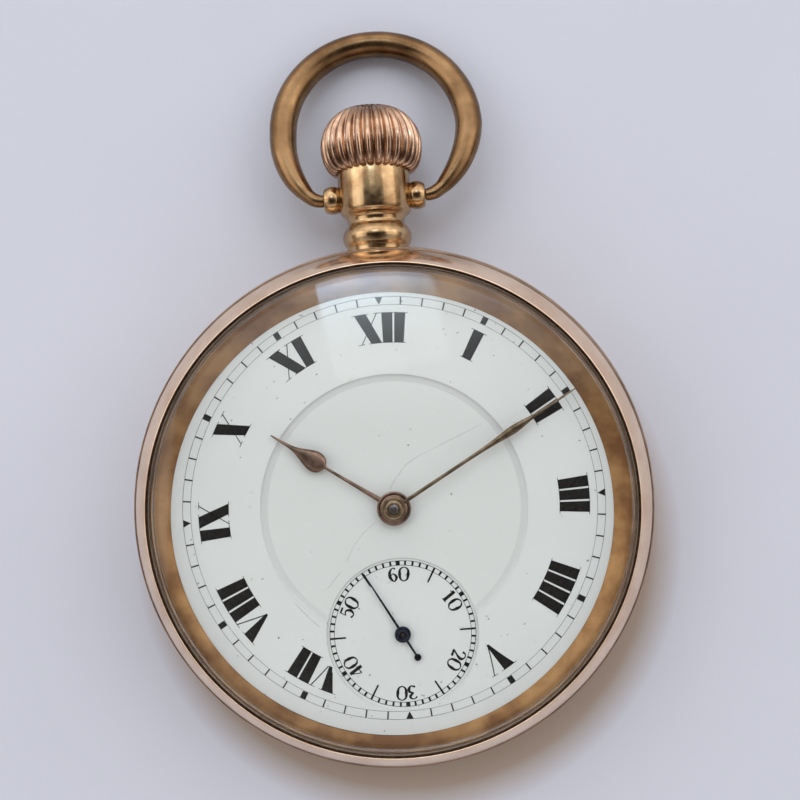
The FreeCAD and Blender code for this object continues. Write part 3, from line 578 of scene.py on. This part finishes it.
def dome(rim_r, top, rise, steps=40):
    """Points of a shallow dome, from its top to its rim: (radius, height)."""
    ball_r = (rim_r ** 2 + rise ** 2) / (2 * rise)
    radii = [rim_r * step / steps for step in range(steps + 1)]
    return [(r, top - ball_r + math.sqrt(ball_r ** 2 - r * r)) for r in radii]


def build_glass():
    """The domed watch glass, thin at its edge."""
    bm = bmesh.new()
    outside = dome(GLASS_R, GLASS_TOP, GLASS_RISE)
    inside = dome(GLASS_BORE, BORE_TOP, BORE_RISE)
    lathe(bm, outside + [(GLASS_R, 10.66), (22.76, 10.46)] + inside[::-1], 192, closed=False)
    add_object("watch_glass", bm, MATERIALS["crystal_glass"], "bezel", replaces=("crystal",))


def build_pendant():
    """The turned neck: a beaded collar, a lip and a straight sleeve with a ball shaped ear on each side."""
    bm = bmesh.new()
    collar = arc([(2.98, 25.17), (3.04, 25.6), (3.25, 25.95), (3.42, 26.5), (3.36, 27.05), (3.08, 27.55),
                  (2.86, 27.85), (2.79, 28.15), (2.84, 28.45)], 6)
    lip = arc([(3.04, 28.72), (3.3, 28.92), (3.5, 29.15), (3.6, 29.5)], 5)
    top = [(3.6, 33.5), (3.56, 33.7), (3.44, 33.86), (3.3, 33.89), (2.02, 33.89), (2.02, 32.3), (1.0, 32.3)]
    lathe(bm, collar + lip + top + [(1.0, 25.17)], 128, along_stem=True)
    ball = arc([(0.5, 0.8), (0.85, 0.83), (1.13, 0.78), (1.32, 0.4), (1.38, 0.0), (1.3, -0.45),
                (1.1, -0.8)], 5)
    for side in (-1, 1):
        knob(bm, [(0.5, 0.8)] + ball + [(0.5, -0.8)], 48, side, (side * EAR_X, EAR_Y, STEM_Z))
    add_object("pendant_neck", bm, MATERIALS["antique_gold"], "case", replaces=("pendant",))


def build_crown():
    """A fluted onion whose rounded ribs follow the profile, with a turned hub and a plain button on top."""
    line = arc([(3.78, 33.12), (4.1, 33.16), (4.5, 33.55), (4.86, 34.3), (5.05, 35.4), (4.97, 36.4),
                (4.62, 37.4), (3.95, 38.35), (3.0, 39.08), (1.9, 39.42)], 5)
    count = FLUTES * FLUTE_STEPS
    bm = bmesh.new()
    rows = [[bm.verts.new((CROWN_BORE * math.cos(TAU * k / count), CROWN_BORE_Y,
                           STEM_Z + CROWN_BORE * math.sin(TAU * k / count))) for k in range(count)]]
    for radius, y in line:
        row = []
        for index in range(count):
            phase = (index % FLUTE_STEPS) / FLUTE_STEPS
            dip = FLUTE_DEPTH * radius * (1 - abs(math.sin(math.pi * phase)) ** 0.75)
            angle = TAU * index / count
            across, up = (radius - dip) * math.cos(angle), (radius - dip) * math.sin(angle)
            row.append(bm.verts.new((across, y, STEM_Z + up)))
        rows.append(row)
    bridge(bm, rows)
    bm.faces.new(rows[0])
    bm.faces.new(rows[-1][::-1])
    button = arc([(1.95, 39.3), (1.75, 39.48), (1.3, 39.62), (0.6, 39.68), (0.0, 39.69)], 4)
    lathe(bm, button + [(0.0, 39.2)], 48, along_stem=True, closed=False)
    lathe(bm, [(0.7, 33.4), (1.8, 33.4), (1.8, 32.75), (0.7, 32.75)], 48, along_stem=True)
    add_object("fluted_crown", bm, MATERIALS["crown_gold"], "crown", replaces=("crown",))


def bow_path():
    """(x, y, wire radius) points from ear to ear: short feet, then a ring that is skewed to one side."""
    foot = [(5.08, 0.0, 0.58), (5.5, 0.03, 0.63), (6.05, 0.22, 0.68)]
    tilt = math.radians(BOW_TILT)
    ring = []
    for index in range(61):
        degrees = -45 + index * 270 / 60
        angle = math.radians(degrees)
        swell = 1.27 + 0.13 * math.cos(angle) ** 2 - 0.61 * (abs(degrees - 90) / 135.0) ** 7
        height = BOW_R * math.sin(angle) + BOW_RISE
        shift = BOW_SKEW * min(1.0, height / BOW_RISE)
        ring.append((BOW_R * math.cos(angle) + shift, height / math.cos(tilt), swell))
    return arc(foot + ring + [(-x, y, radius) for x, y, radius in reversed(foot)], 4)


def build_bow():
    """The round wire ring, a swept circle that thins near the ears, with a short pin into each ear."""
    path = bow_path()
    bm = bmesh.new()
    rows = []
    for index, (x, y, radius) in enumerate(path):
        side = sideways(path, index)
        row = []
        for k in range(WIRE_SEGMENTS):
            angle = TAU * k / WIRE_SEGMENTS
            flat = Vector((x, y)) + side * radius * math.cos(angle)
            row.append(bm.verts.new((flat.x, flat.y, radius * math.sin(angle))))
        rows.append(row)
    bridge(bm, rows)
    bm.faces.new(rows[0][::-1])
    bm.faces.new(rows[-1])
    pin = [(0.0, 3.95), (0.36, 3.95), (0.41, 4.05), (0.41, 5.2), (0.0, 5.2)]
    for side in (-1, 1):
        knob(bm, pin, 24, side, (0, 0, 0), closed=False)
    tilt = Matrix.Rotation(-math.radians(BOW_TILT), 3, "X")
    bmesh.ops.rotate(bm, verts=bm.verts[:], cent=(0, 0, 0), matrix=tilt)
    bmesh.ops.translate(bm, verts=bm.verts[:], vec=(0, EAR_Y, STEM_Z))
    add_object("bow_ring", bm, MATERIALS["bow_gold_painted_shade"], "bow", replaces=("bow",))


# ---------------------------------------------------------------- hands
def ringed_boss(bm, radius, low, high, bore, groove):
    """A turned boss with a bore, a rounded edge and one round groove in its face."""
    face = [(radius, low), (radius, high - 0.08), (radius - 0.07, high - 0.01)]
    face += [(groove + 0.09, high), (groove + 0.05, high - GROOVE_DEPTH),
             (groove - 0.05, high - GROOVE_DEPTH), (groove - 0.09, high)]
    face += [(bore + 0.06, high), (bore, high - 0.04), (bore, low)]
    lathe(bm, face, 64)


def add_hand(bm, name, angle, centre, material, body, replaced):
    """Turns a hand that was made pointing at 12 clockwise to its angle and moves it to its centre."""
    turn = Matrix.Rotation(-math.radians(angle), 3, "Z")
    bmesh.ops.rotate(bm, verts=bm.verts[:], cent=(0, 0, 0), matrix=turn)
    bmesh.ops.translate(bm, verts=bm.verts[:], vec=(centre[0], centre[1], 0))
    add_object(name, bm, MATERIALS[material], body, replaces=(replaced,))


def build_hands():
    """Hour and minute hands that swell like a pear before the tip, and a thin seconds hand with a tail."""
    bm = bmesh.new()
    stations = arc([(0.95, 0.27), (3.0, 0.21), (7.4, 0.13), (7.68, 0.2), (7.86, 0.52), (8.15, 0.83),
                    (8.6, 0.985), (9.1, 0.97), (9.7, 0.79), (10.3, 0.54), (10.9, 0.33), (11.6, 0.19),
                    (12.6, 0.13), (13.7, 0.07)], 5)
    blade(bm, stations, 8.99, 9.2, 0.05)
    ringed_boss(bm, 1.63, 8.98, 9.3, 0.93, 1.32)
    add_hand(bm, "hour_hand_piece", HOUR_ANGLE, (0, 0), "hand_copper", "hour", "hour_hand")

    bm = bmesh.new()
    stations = arc([(0.75, 0.2), (4.0, 0.17), (9.0, 0.17), (11.4, 0.25), (12.6, 0.34), (13.4, 0.4),
                    (14.0, 0.39), (14.9, 0.3), (16.0, 0.18), (17.5, 0.13), (19.5, 0.1), (20.9, 0.05)], 5)
    blade(bm, stations, 9.43, 9.58, 0.04)
    ringed_boss(bm, 1.15, 9.42, 9.74, 0.34, 0.84)
    add_hand(bm, "minute_hand_piece", MINUTE_ANGLE, (0, 0), "hand_bronze", "centre", "minute_hand")

    bm = bmesh.new()
    tip = [(0.0, 9.3), (0.3, 9.3), (0.31, 9.55), (0.52, 9.76), (0.5, 9.84), (0.3, 9.92), (0.0, 9.94)]
    lathe(bm, tip, 40, closed=False)
    add_object("centre_arbor_tip", bm, MATERIALS["dull_steel"], "centre")

    bm = bmesh.new()
    blade(bm, [(-2.4, 0.09), (0.0, 0.13), (0.5, 0.12), (3.5, 0.095), (6.93, 0.055)], 8.51, 8.6, 0.05)
    tail = [(0.34, 8.51), (0.34, 8.57), (0.25, 8.61), (0.0, 8.61), (0.0, 8.51)]
    lathe(bm, tail, 32, closed=False, centre=(0, -2.64))
    ringed_boss(bm, 0.78, 8.51, 8.76, 0.16, 0.5)
    add_hand(bm, "seconds_hand_piece", SECONDS_ANGLE, (0, SECONDS_Y), "blued_steel", "fourth", "seconds_hand")


# ---------------------------------------------------------------- dial print
def print_face(bm, spots, z):
    """A flat printed face through (x, y) spots at this height."""
    corners = [bm.verts.new((x, y, z)) for x, y in spots]
    bm.faces.new(corners[::-1])


def circle_line(bm, radius, width, low, centre, segments):
    """A thin printed circle, one face per segment."""
    inside, outside = radius - width / 2, radius + width / 2
    for index in range(segments):
        corners = ((inside, index), (outside, index), (outside, index + 1), (inside, index + 1))
        spots = [clock(r, 360.0 * step / segments, centre) for r, step in corners]
        print_face(bm, spots, low + INK_HEIGHT)


def tick(bm, shape, degrees, low, centre):
    """A printed mark; its shape is (inner radius, outer radius, inner width, outer width)."""
    inner, outer, inner_width, outer_width = shape
    corners = ((inner, -inner_width / 2), (outer, -outer_width / 2), (outer, outer_width / 2),
               (inner, inner_width / 2))
    spots = [clock(r, degrees + math.degrees(half / r), centre) for r, half in corners]
    print_face(bm, spots, low + INK_HEIGHT)


def print_scale(bm, circles, marks, low, centre, segments):
    """Two circles with sixty marks between them; a mark is drawn at each multiple of its step."""
    for radius, width in circles:
        circle_line(bm, radius, width, low, centre, segments)
    for number in range(60):
        shape = next(shape for step, shape in marks if number % step == 0)
        tick(bm, shape, number * 6.0 - DIAL_TURN, low, centre)


def flat_stroke(bm, line, widths, z):
    """A flat pen stroke along (x, y) points, with a width at each of them."""
    rows = []
    for index, here in enumerate(line):
        half = sideways(line, index) * widths[index] / 2
        rows.append([bm.verts.new((*(Vector(here) + half), z)), bm.verts.new((*(Vector(here) - half), z))])
    bridge(bm, rows, closed=False)


def bar(x0, x1, y0, y1):
    """An upright rectangle."""
    return [(x0, y0), (x1, y0), (x1, y1), (x0, y1)]


def serif(x0, x1, y, up):
    """A hairline serif along the top (up -1) or the foot (up 1) of a stroke."""
    return bar(x0, x1, y, y + SERIF * up)


def letter_i(x):
    """Quads of an I at x, and how far the next letter is."""
    quads = [bar(x, x + I_THICK, 0.0, NUMERAL_H)]
    for y, up in ((0.0, 1), (NUMERAL_H, -1)):
        quads.append(serif(x - OVERHANG, x + I_THICK + OVERHANG, y, up))
    return quads, I_THICK + GAP


def letter_v(x):
    """Quads of a V at x, thick on the left and thin on the right, and how far the next letter is."""
    top, right = NUMERAL_H, x + V_WIDTH
    quads = [
        [(x, top), (x + 1.0, 0.0), (x + 1.26, 0.0), (x + V_THICK, top)],
        [(right - THIN, top), (x + 1.08, 0.05), (x + 1.2, 0.05), (right, top)],
        serif(x - OVERHANG, x + V_THICK + OVERHANG, top, -1),
        serif(right - 0.45, right + 0.2, top, -1)]
    return quads, V_WIDTH + GAP


def letter_x(x):
    """Quads of an X at x, thick down to the right, thin down to the left, and how far the next letter is."""
    top, right = NUMERAL_H, x + X_WIDTH
    quads = [
        [(x, top), (right - 1.12, 0.0), (right, 0.0), (x + X_THICK, top)],
        [(right - 0.36, top), (x + 0.14, 0.0), (x + 0.24, 0.0), (right - 0.26, top)],
        serif(x - OVERHANG, x + X_THICK + OVERHANG, top, -1),
        serif(right - 0.62, right + 0.02, top, -1),
        serif(x - 0.16, x + 0.55, 0.0, 1),
        serif(right - 1.12 - OVERHANG, right + OVERHANG, 0.0, 1)]
    return quads, X_WIDTH + GAP * 0.6


def numeral_strokes(text):
    """Quads of a Roman numeral, centred on x and standing on y = 0."""
    letters = {"I": letter_i, "V": letter_v, "X": letter_x}
    quads = []
    x = 0.0
    for letter in text:
        strokes, advance = letters[letter](x)
        quads += strokes
        x += advance
    half = (x - GAP) / 2
    return [[(px - half, py) for px, py in quad] for quad in quads]


def split_quad(quad, parts, across):
    """Cuts a quad into a grid of small ones, so that it can bend and be clipped."""
    a, b, c, d = (Vector(p) for p in quad)

    def spot(s, t):
        return tuple(a.lerp(b, s).lerp(d.lerp(c, s), t))

    out = []
    for index in range(parts):
        t0, t1 = index / parts, (index + 1) / parts
        for column in range(across):
            s0, s1 = column / across, (column + 1) / across
            out.append([spot(s0, t0), spot(s1, t0), spot(s1, t1), spot(s0, t1)])
    return out


def numeral_spot(x, y, degrees):
    """Where a numeral's point stands on the dial: x runs along the circle and y outwards."""
    middle = NUMERAL_FOOT + NUMERAL_H / 2
    return clock(NUMERAL_FOOT + y, degrees + math.degrees(x / middle))


def print_numerals(bm):
    """The hours with their feet towards the centre; V and VII are cut off where the seconds dial starts."""
    for hour, name in enumerate(HOURS):
        clipped = hour in (5, 7)
        parts, across = (14, 6) if clipped else (6, 1)
        for quad in numeral_strokes(name):
            for piece in split_quad(quad, parts, across):
                spots = [numeral_spot(x, y, hour * 30.0 - DIAL_TURN) for x, y in piece]
                nearest = min(math.hypot(x, y - SECONDS_Y) for x, y in spots)
                if not clipped or nearest >= SECONDS_R + SEAM:
                    print_face(bm, spots, DIAL_TOP + INK_HEIGHT)


def sunk_edge(bm, centre, radius, high, low, spread, reach, keep):
    """A soft slope round a sunk circle, from spread outside it to reach inside it, where keep(x, y) holds."""
    rings = [(radius + spread, high + EDGE_LIFT), (radius + spread * 0.4, high - 0.03),
             (radius, (high + low) / 2), (radius - reach * 0.5, low + (high - low) * 0.15),
             (radius - reach, low + EDGE_LIFT)]
    for index in range(CIRCLE_SEGMENTS):
        first, last = (360.0 * step / CIRCLE_SEGMENTS for step in (index, index + 1))
        if not all(keep(*clock(radius, degrees, centre)) for degrees in (first, last)):
            continue
        for (r0, z0), (r1, z1) in zip(rings, rings[1:]):
            corners = []
            for r, z, degrees in ((r0, z0, first), (r0, z0, last), (r1, z1, last), (r1, z1, first)):
                x, y = clock(r, degrees, centre)
                corners.append(bm.verts.new((x, y, z)))
            bm.faces.new(corners)


def build_sunk_edges():
    """The rounded edges of the sunk centre and of the sunk seconds dial, which cuts into the centre; their
    greyer enamel is painted shade.
    """
    bm = bmesh.new()
    sunk_edge(bm, (0, 0), CENTRE_R, DIAL_TOP, CENTRE_TOP, 0.14, 0.7,
              lambda x, y: math.hypot(x, y - SECONDS_Y) > SECONDS_R + SEAM)
    sunk_edge(bm, SECONDS_CENTRE, SECONDS_R, DIAL_TOP, SECONDS_TOP, 0.1, 0.11,
              lambda x, y: math.hypot(x, y) > CENTRE_R)
    sunk_edge(bm, SECONDS_CENTRE, SECONDS_R, CENTRE_TOP, SECONDS_TOP, 0.1, 0.11,
              lambda x, y: math.hypot(x, y) <= CENTRE_R)
    bmesh.ops.remove_doubles(bm, verts=bm.verts[:], dist=0.0005)
    return bm


# Each digit is a list of pen strokes in a unit box: the points of a stroke and its widths along the way.
DIGITS = {
    "0": [([(0.5, 0.0), (0.12, 0.16), (0.05, 0.5), (0.12, 0.84), (0.5, 1.0), (0.88, 0.84), (0.95, 0.5),
            (0.88, 0.16), (0.5, 0.0)], [0.07, 0.14, 0.24, 0.14, 0.07, 0.14, 0.24, 0.14, 0.07])],
    "1": [([(0.52, 0.0), (0.52, 1.0)], [0.24, 0.24]), ([(0.2, 0.8), (0.52, 0.97)], [0.07, 0.09]),
          ([(0.2, 0.03), (0.84, 0.03)], [0.07, 0.07])],
    "2": [([(0.12, 0.72), (0.3, 0.96), (0.66, 0.95), (0.84, 0.72), (0.62, 0.42), (0.12, 0.06)],
           [0.2, 0.08, 0.1, 0.24, 0.14, 0.07]), ([(0.1, 0.07), (0.9, 0.07)], [0.17, 0.17])],
    "3": [([(0.14, 0.84), (0.4, 0.97), (0.72, 0.9), (0.78, 0.72), (0.4, 0.54)],
           [0.14, 0.07, 0.14, 0.22, 0.08]),
          ([(0.4, 0.54), (0.8, 0.44), (0.88, 0.25), (0.6, 0.03), (0.12, 0.14)],
           [0.08, 0.18, 0.24, 0.09, 0.16])],
    "4": [([(0.7, 0.0), (0.7, 1.0)], [0.24, 0.24]), ([(0.66, 0.98), (0.06, 0.32)], [0.07, 0.07]),
          ([(0.04, 0.3), (0.98, 0.3)], [0.08, 0.08])],
    "5": [([(0.82, 0.94), (0.26, 0.94)], [0.14, 0.14]), ([(0.26, 0.96), (0.2, 0.52)], [0.07, 0.07]),
          ([(0.2, 0.54), (0.6, 0.64), (0.88, 0.34), (0.6, 0.03), (0.12, 0.14)],
           [0.07, 0.12, 0.24, 0.09, 0.15])],
    "6": [([(0.78, 0.9), (0.5, 0.97), (0.18, 0.7), (0.14, 0.34), (0.5, 0.02), (0.84, 0.3), (0.5, 0.58),
            (0.2, 0.4)], [0.14, 0.07, 0.2, 0.24, 0.08, 0.22, 0.08, 0.06])],
}


def pen_width(widths, share):
    """The pen's width at this share of a stroke, between the widths given along it."""
    t = share * (len(widths) - 1)
    k = min(int(t), len(widths) - 2)
    return (widths[k] + (widths[k + 1] - widths[k]) * (t - k)) * PEN_WEIGHT


def print_digits(bm):
    """The tens of the small seconds, with their feet towards the middle of the seconds dial."""
    for second in (60, 10, 20, 30, 40, 50):
        degrees = second * 6.0 - DIAL_TURN
        for index, digit in enumerate(str(second)):
            offset = (index - 0.5) * (DIGIT_W + DIGIT_SPACE)
            for line, widths in DIGITS[digit]:
                dense = arc(line, 3) if len(line) > 2 else line
                spots = []
                for gx, gy in dense:
                    across = offset + (gx - 0.5) * DIGIT_W
                    angle = degrees + math.degrees(across / DIGIT_MIDDLE)
                    spots.append(clock(DIGIT_FOOT + gy * DIGIT_H, angle, SECONDS_CENTRE))
                last = len(dense) - 1
                pens = [pen_width(widths, number / last) for number in range(last + 1)]
                flat_stroke(bm, spots, pens, SECONDS_TOP + INK_HEIGHT)


def build_cracks():
    """Hairline cracks in the enamel, each a thin wandering line."""
    bm = bmesh.new()
    lines = [
        ([(-0.4, 1.66), (0.5, 3.0), (1.75, 4.3), (5.2, 5.9), (8.9, 7.5)], CENTRE_TOP),
        ([(-1.95, -1.3), (-2.8, -1.95), (-3.5, -2.63), (-4.3, -3.7), (-4.9, -4.75)], CENTRE_TOP),
        ([(-5.6, -5.9), (-6.4, -6.8), (-7.0, -7.4)], CENTRE_TOP),
        ([(-10.2, -8.4), (-9.3, -9.5), (-8.0, -10.9)], DIAL_TOP),
    ]
    for points, top in lines:
        spots = []
        for x, y in arc(points, 6):
            x += random.uniform(-CRACK_WANDER, CRACK_WANDER)
            y += random.uniform(-CRACK_WANDER, CRACK_WANDER)
            spots.append((x, y))
        widths = [random.uniform(*CRACK_WIDTHS) for _ in spots]
        flat_stroke(bm, spots, widths, top + INK_HEIGHT * 0.7)
    return bm


def build_dial():
    """Everything on the enamel: print, seconds print, the soft edges of the sunk dials with their painted
    shade, and the cracks.
    """
    bm = bmesh.new()
    print_numerals(bm)
    print_scale(bm, TRACK_CIRCLES, TRACK_MARKS, DIAL_TOP, (0.0, 0.0), CIRCLE_SEGMENTS)
    add_object("dial_print", bm, INK, "case", smooth=False)
    bm = bmesh.new()
    print_scale(bm, SECONDS_CIRCLES, SECONDS_MARKS, SECONDS_TOP, SECONDS_CENTRE, 160)
    print_digits(bm)
    add_object("seconds_print", bm, INK, "case", smooth=False)
    add_object("sunk_edges", build_sunk_edges(), MATERIALS["enamel_edge_painted_shade"], "case")
    add_object("enamel_cracks", build_cracks(), CRACK, "case", smooth=False)


# ---------------------------------------------------------------- carried-over CAD pieces
def dress_cad():
    """Every CAD node gets the material of its slot and lightly rounded edges, softer ones on the dial."""
    slots = {part["node"]: part["material_slot"] for part in frame["record"]["subparts"]}
    for name, obj in frame["nodes"].items():
        obj.data.materials.clear()
        obj.data.materials.append(MATERIALS[slots[name]])
        rounded = obj.modifiers.new("edge_light", "BEVEL")
        rounded.width = (DIAL_EDGE if name == "dial_ring" else CAD_EDGE) * MM
        rounded.segments = 4 if name == "dial_ring" else 2
        rounded.limit_method = "ANGLE"
        rounded.angle_limit = math.radians(50)


# ---------------------------------------------------------------- stage, light, camera
def stage_sheet(name, size, material):
    """A flat sheet that isn't part of the object."""
    mesh = bpy.data.meshes.new(name)
    x, y = size[0] / 2, size[1] / 2
    mesh.from_pydata([(-x, -y, 0), (x, -y, 0), (x, y, 0), (-x, y, 0)], [], [(0, 1, 2, 3)])
    sheet = bpy.data.objects.new(name, mesh)
    bpy.context.collection.objects.link(sheet)
    mesh.materials.append(material)
    return sheet


def aim(thing, place, target):
    """Puts a lamp or sheet at place with its -Z side towards the target."""
    thing.location = place
    thing.rotation_mode = "QUATERNION"
    thing.rotation_quaternion = (Vector(target) - Vector(place)).to_track_quat("-Z", "Y")


def build_stage():
    """The paper under the watch, and the window pane that the glass reflects."""
    floor = stage_sheet("floor_sheet", FLOOR_SIZE, PAPER)
    floor.location.z = -0.02 * MM
    spot = Vector(PANE_TARGET) * MM
    pane = stage_sheet("window_pane", PANE, window_material())
    aim(pane, spot + Vector(PANE_WAY).normalized() * PANE_AWAY, spot)


def area_light(name, place, size, power, colour):
    """A rectangular lamp at a place in metres, aimed at the watch, with its power in watts."""
    data = bpy.data.lights.new(name, "AREA")
    data.shape = "RECTANGLE"
    data.size, data.size_y = size
    data.energy = power
    data.color = colour
    lamp = bpy.data.objects.new(name, data)
    bpy.context.collection.objects.link(lamp)
    aim(lamp, place, (0, 0, 0))


def build_world():
    """A soft room: warm near the horizon, paler above, dark overhead, with an even glow in the +Y half."""
    world = bpy.data.worlds.new("soft_room")
    bpy.context.scene.world = world
    world.use_nodes = True
    nodes, links = world.node_tree.nodes, world.node_tree.links
    nodes.clear()
    out = nodes.new("ShaderNodeOutputWorld")
    place = nodes.new("ShaderNodeTexCoord")
    split = nodes.new("ShaderNodeSeparateXYZ")
    links.new(place.outputs["Generated"], split.inputs["Vector"])
    sky = ramp(nodes, links, split.outputs["Z"], [
        (0.0, (0.20, 0.14, 0.10)), (0.2, (0.36, 0.30, 0.26)), (0.45, (0.70, 0.67, 0.67)),
        (0.66, (0.72, 0.73, 0.78)), (0.78, (0.30, 0.285, 0.28)), (0.88, (0.07, 0.06, 0.055)),
        (1.0, (0.05, 0.042, 0.038))])
    wave = noise(nodes, links, place.outputs["Generated"], 2.2, 2.0)
    blotch = remap(nodes, links, wave, 0.3, 0.7, 0.65, 1.3)
    back = nodes.new("ShaderNodeBackground")
    links.new(sky, back.inputs["Color"])
    links.new(blotch, back.inputs["Strength"])
    north = nodes.new("ShaderNodeBackground")
    north.inputs["Color"].default_value = (0.94, 0.97, 1.0, 1)
    glow = remap(nodes, links, split.outputs["Y"], 0.10, 0.30, 0.0, NORTH_GLOW)
    links.new(glow, north.inputs["Strength"])
    both = nodes.new("ShaderNodeAddShader")
    links.new(back.outputs[0], both.inputs[0])
    links.new(north.outputs[0], both.inputs[1])
    links.new(both.outputs[0], out.inputs["Surface"])


def build_lights():
    """A window beyond 12 o'clock, softer light from both sides and a little from the near side."""
    area_light("window_far", (0.1, 0.85, 0.90), (2.0, 1.0), 4.2, (0.93, 0.96, 1.0))
    area_light("window_right", (1.0, 0.15, 0.8), (0.9, 0.9), 2.7, (1.0, 0.97, 0.94))
    area_light("window_left", (-1.0, 0.15, 0.8), (0.9, 0.9), 2.5, (1.0, 0.97, 0.94))
    area_light("room_near", (0.0, -1.1, 0.75), (1.2, 0.6), 1.2, (1.0, 0.93, 0.86))


def build_camera():
    """A close camera looking straight down, a little above and to the right of the dial's centre."""
    right = Vector((math.cos(ROLL), -math.sin(ROLL), 0))
    up = Vector((math.sin(ROLL), math.cos(ROLL), 0))
    back = Vector((0, 0, 1))
    data = bpy.data.cameras.new("photo_camera")
    data.sensor_width = 36.0
    data.lens = CAMERA_LENS
    data.shift_x, data.shift_y = CAMERA_SHIFT
    data.clip_start = 0.005
    data.clip_end = 5.0
    camera = bpy.data.objects.new("photo_camera", data)
    bpy.context.collection.objects.link(camera)
    camera.location = (right * CAMERA_SPOT[0] + up * CAMERA_SPOT[1] + back * CAMERA_SPOT[2]) * MM
    camera.rotation_mode = "QUATERNION"
    camera.rotation_quaternion = Matrix((right, up, back)).transposed().to_quaternion()
    bpy.context.scene.camera = camera


build_bezel()
build_rehaut()
build_glass()
build_pendant()
build_crown()
build_bow()
build_hands()
build_dial()
dress_cad()
build_stage()
build_world()
build_lights()
build_camera()
bpy.context.scene.view_settings.view_transform = "Standard"
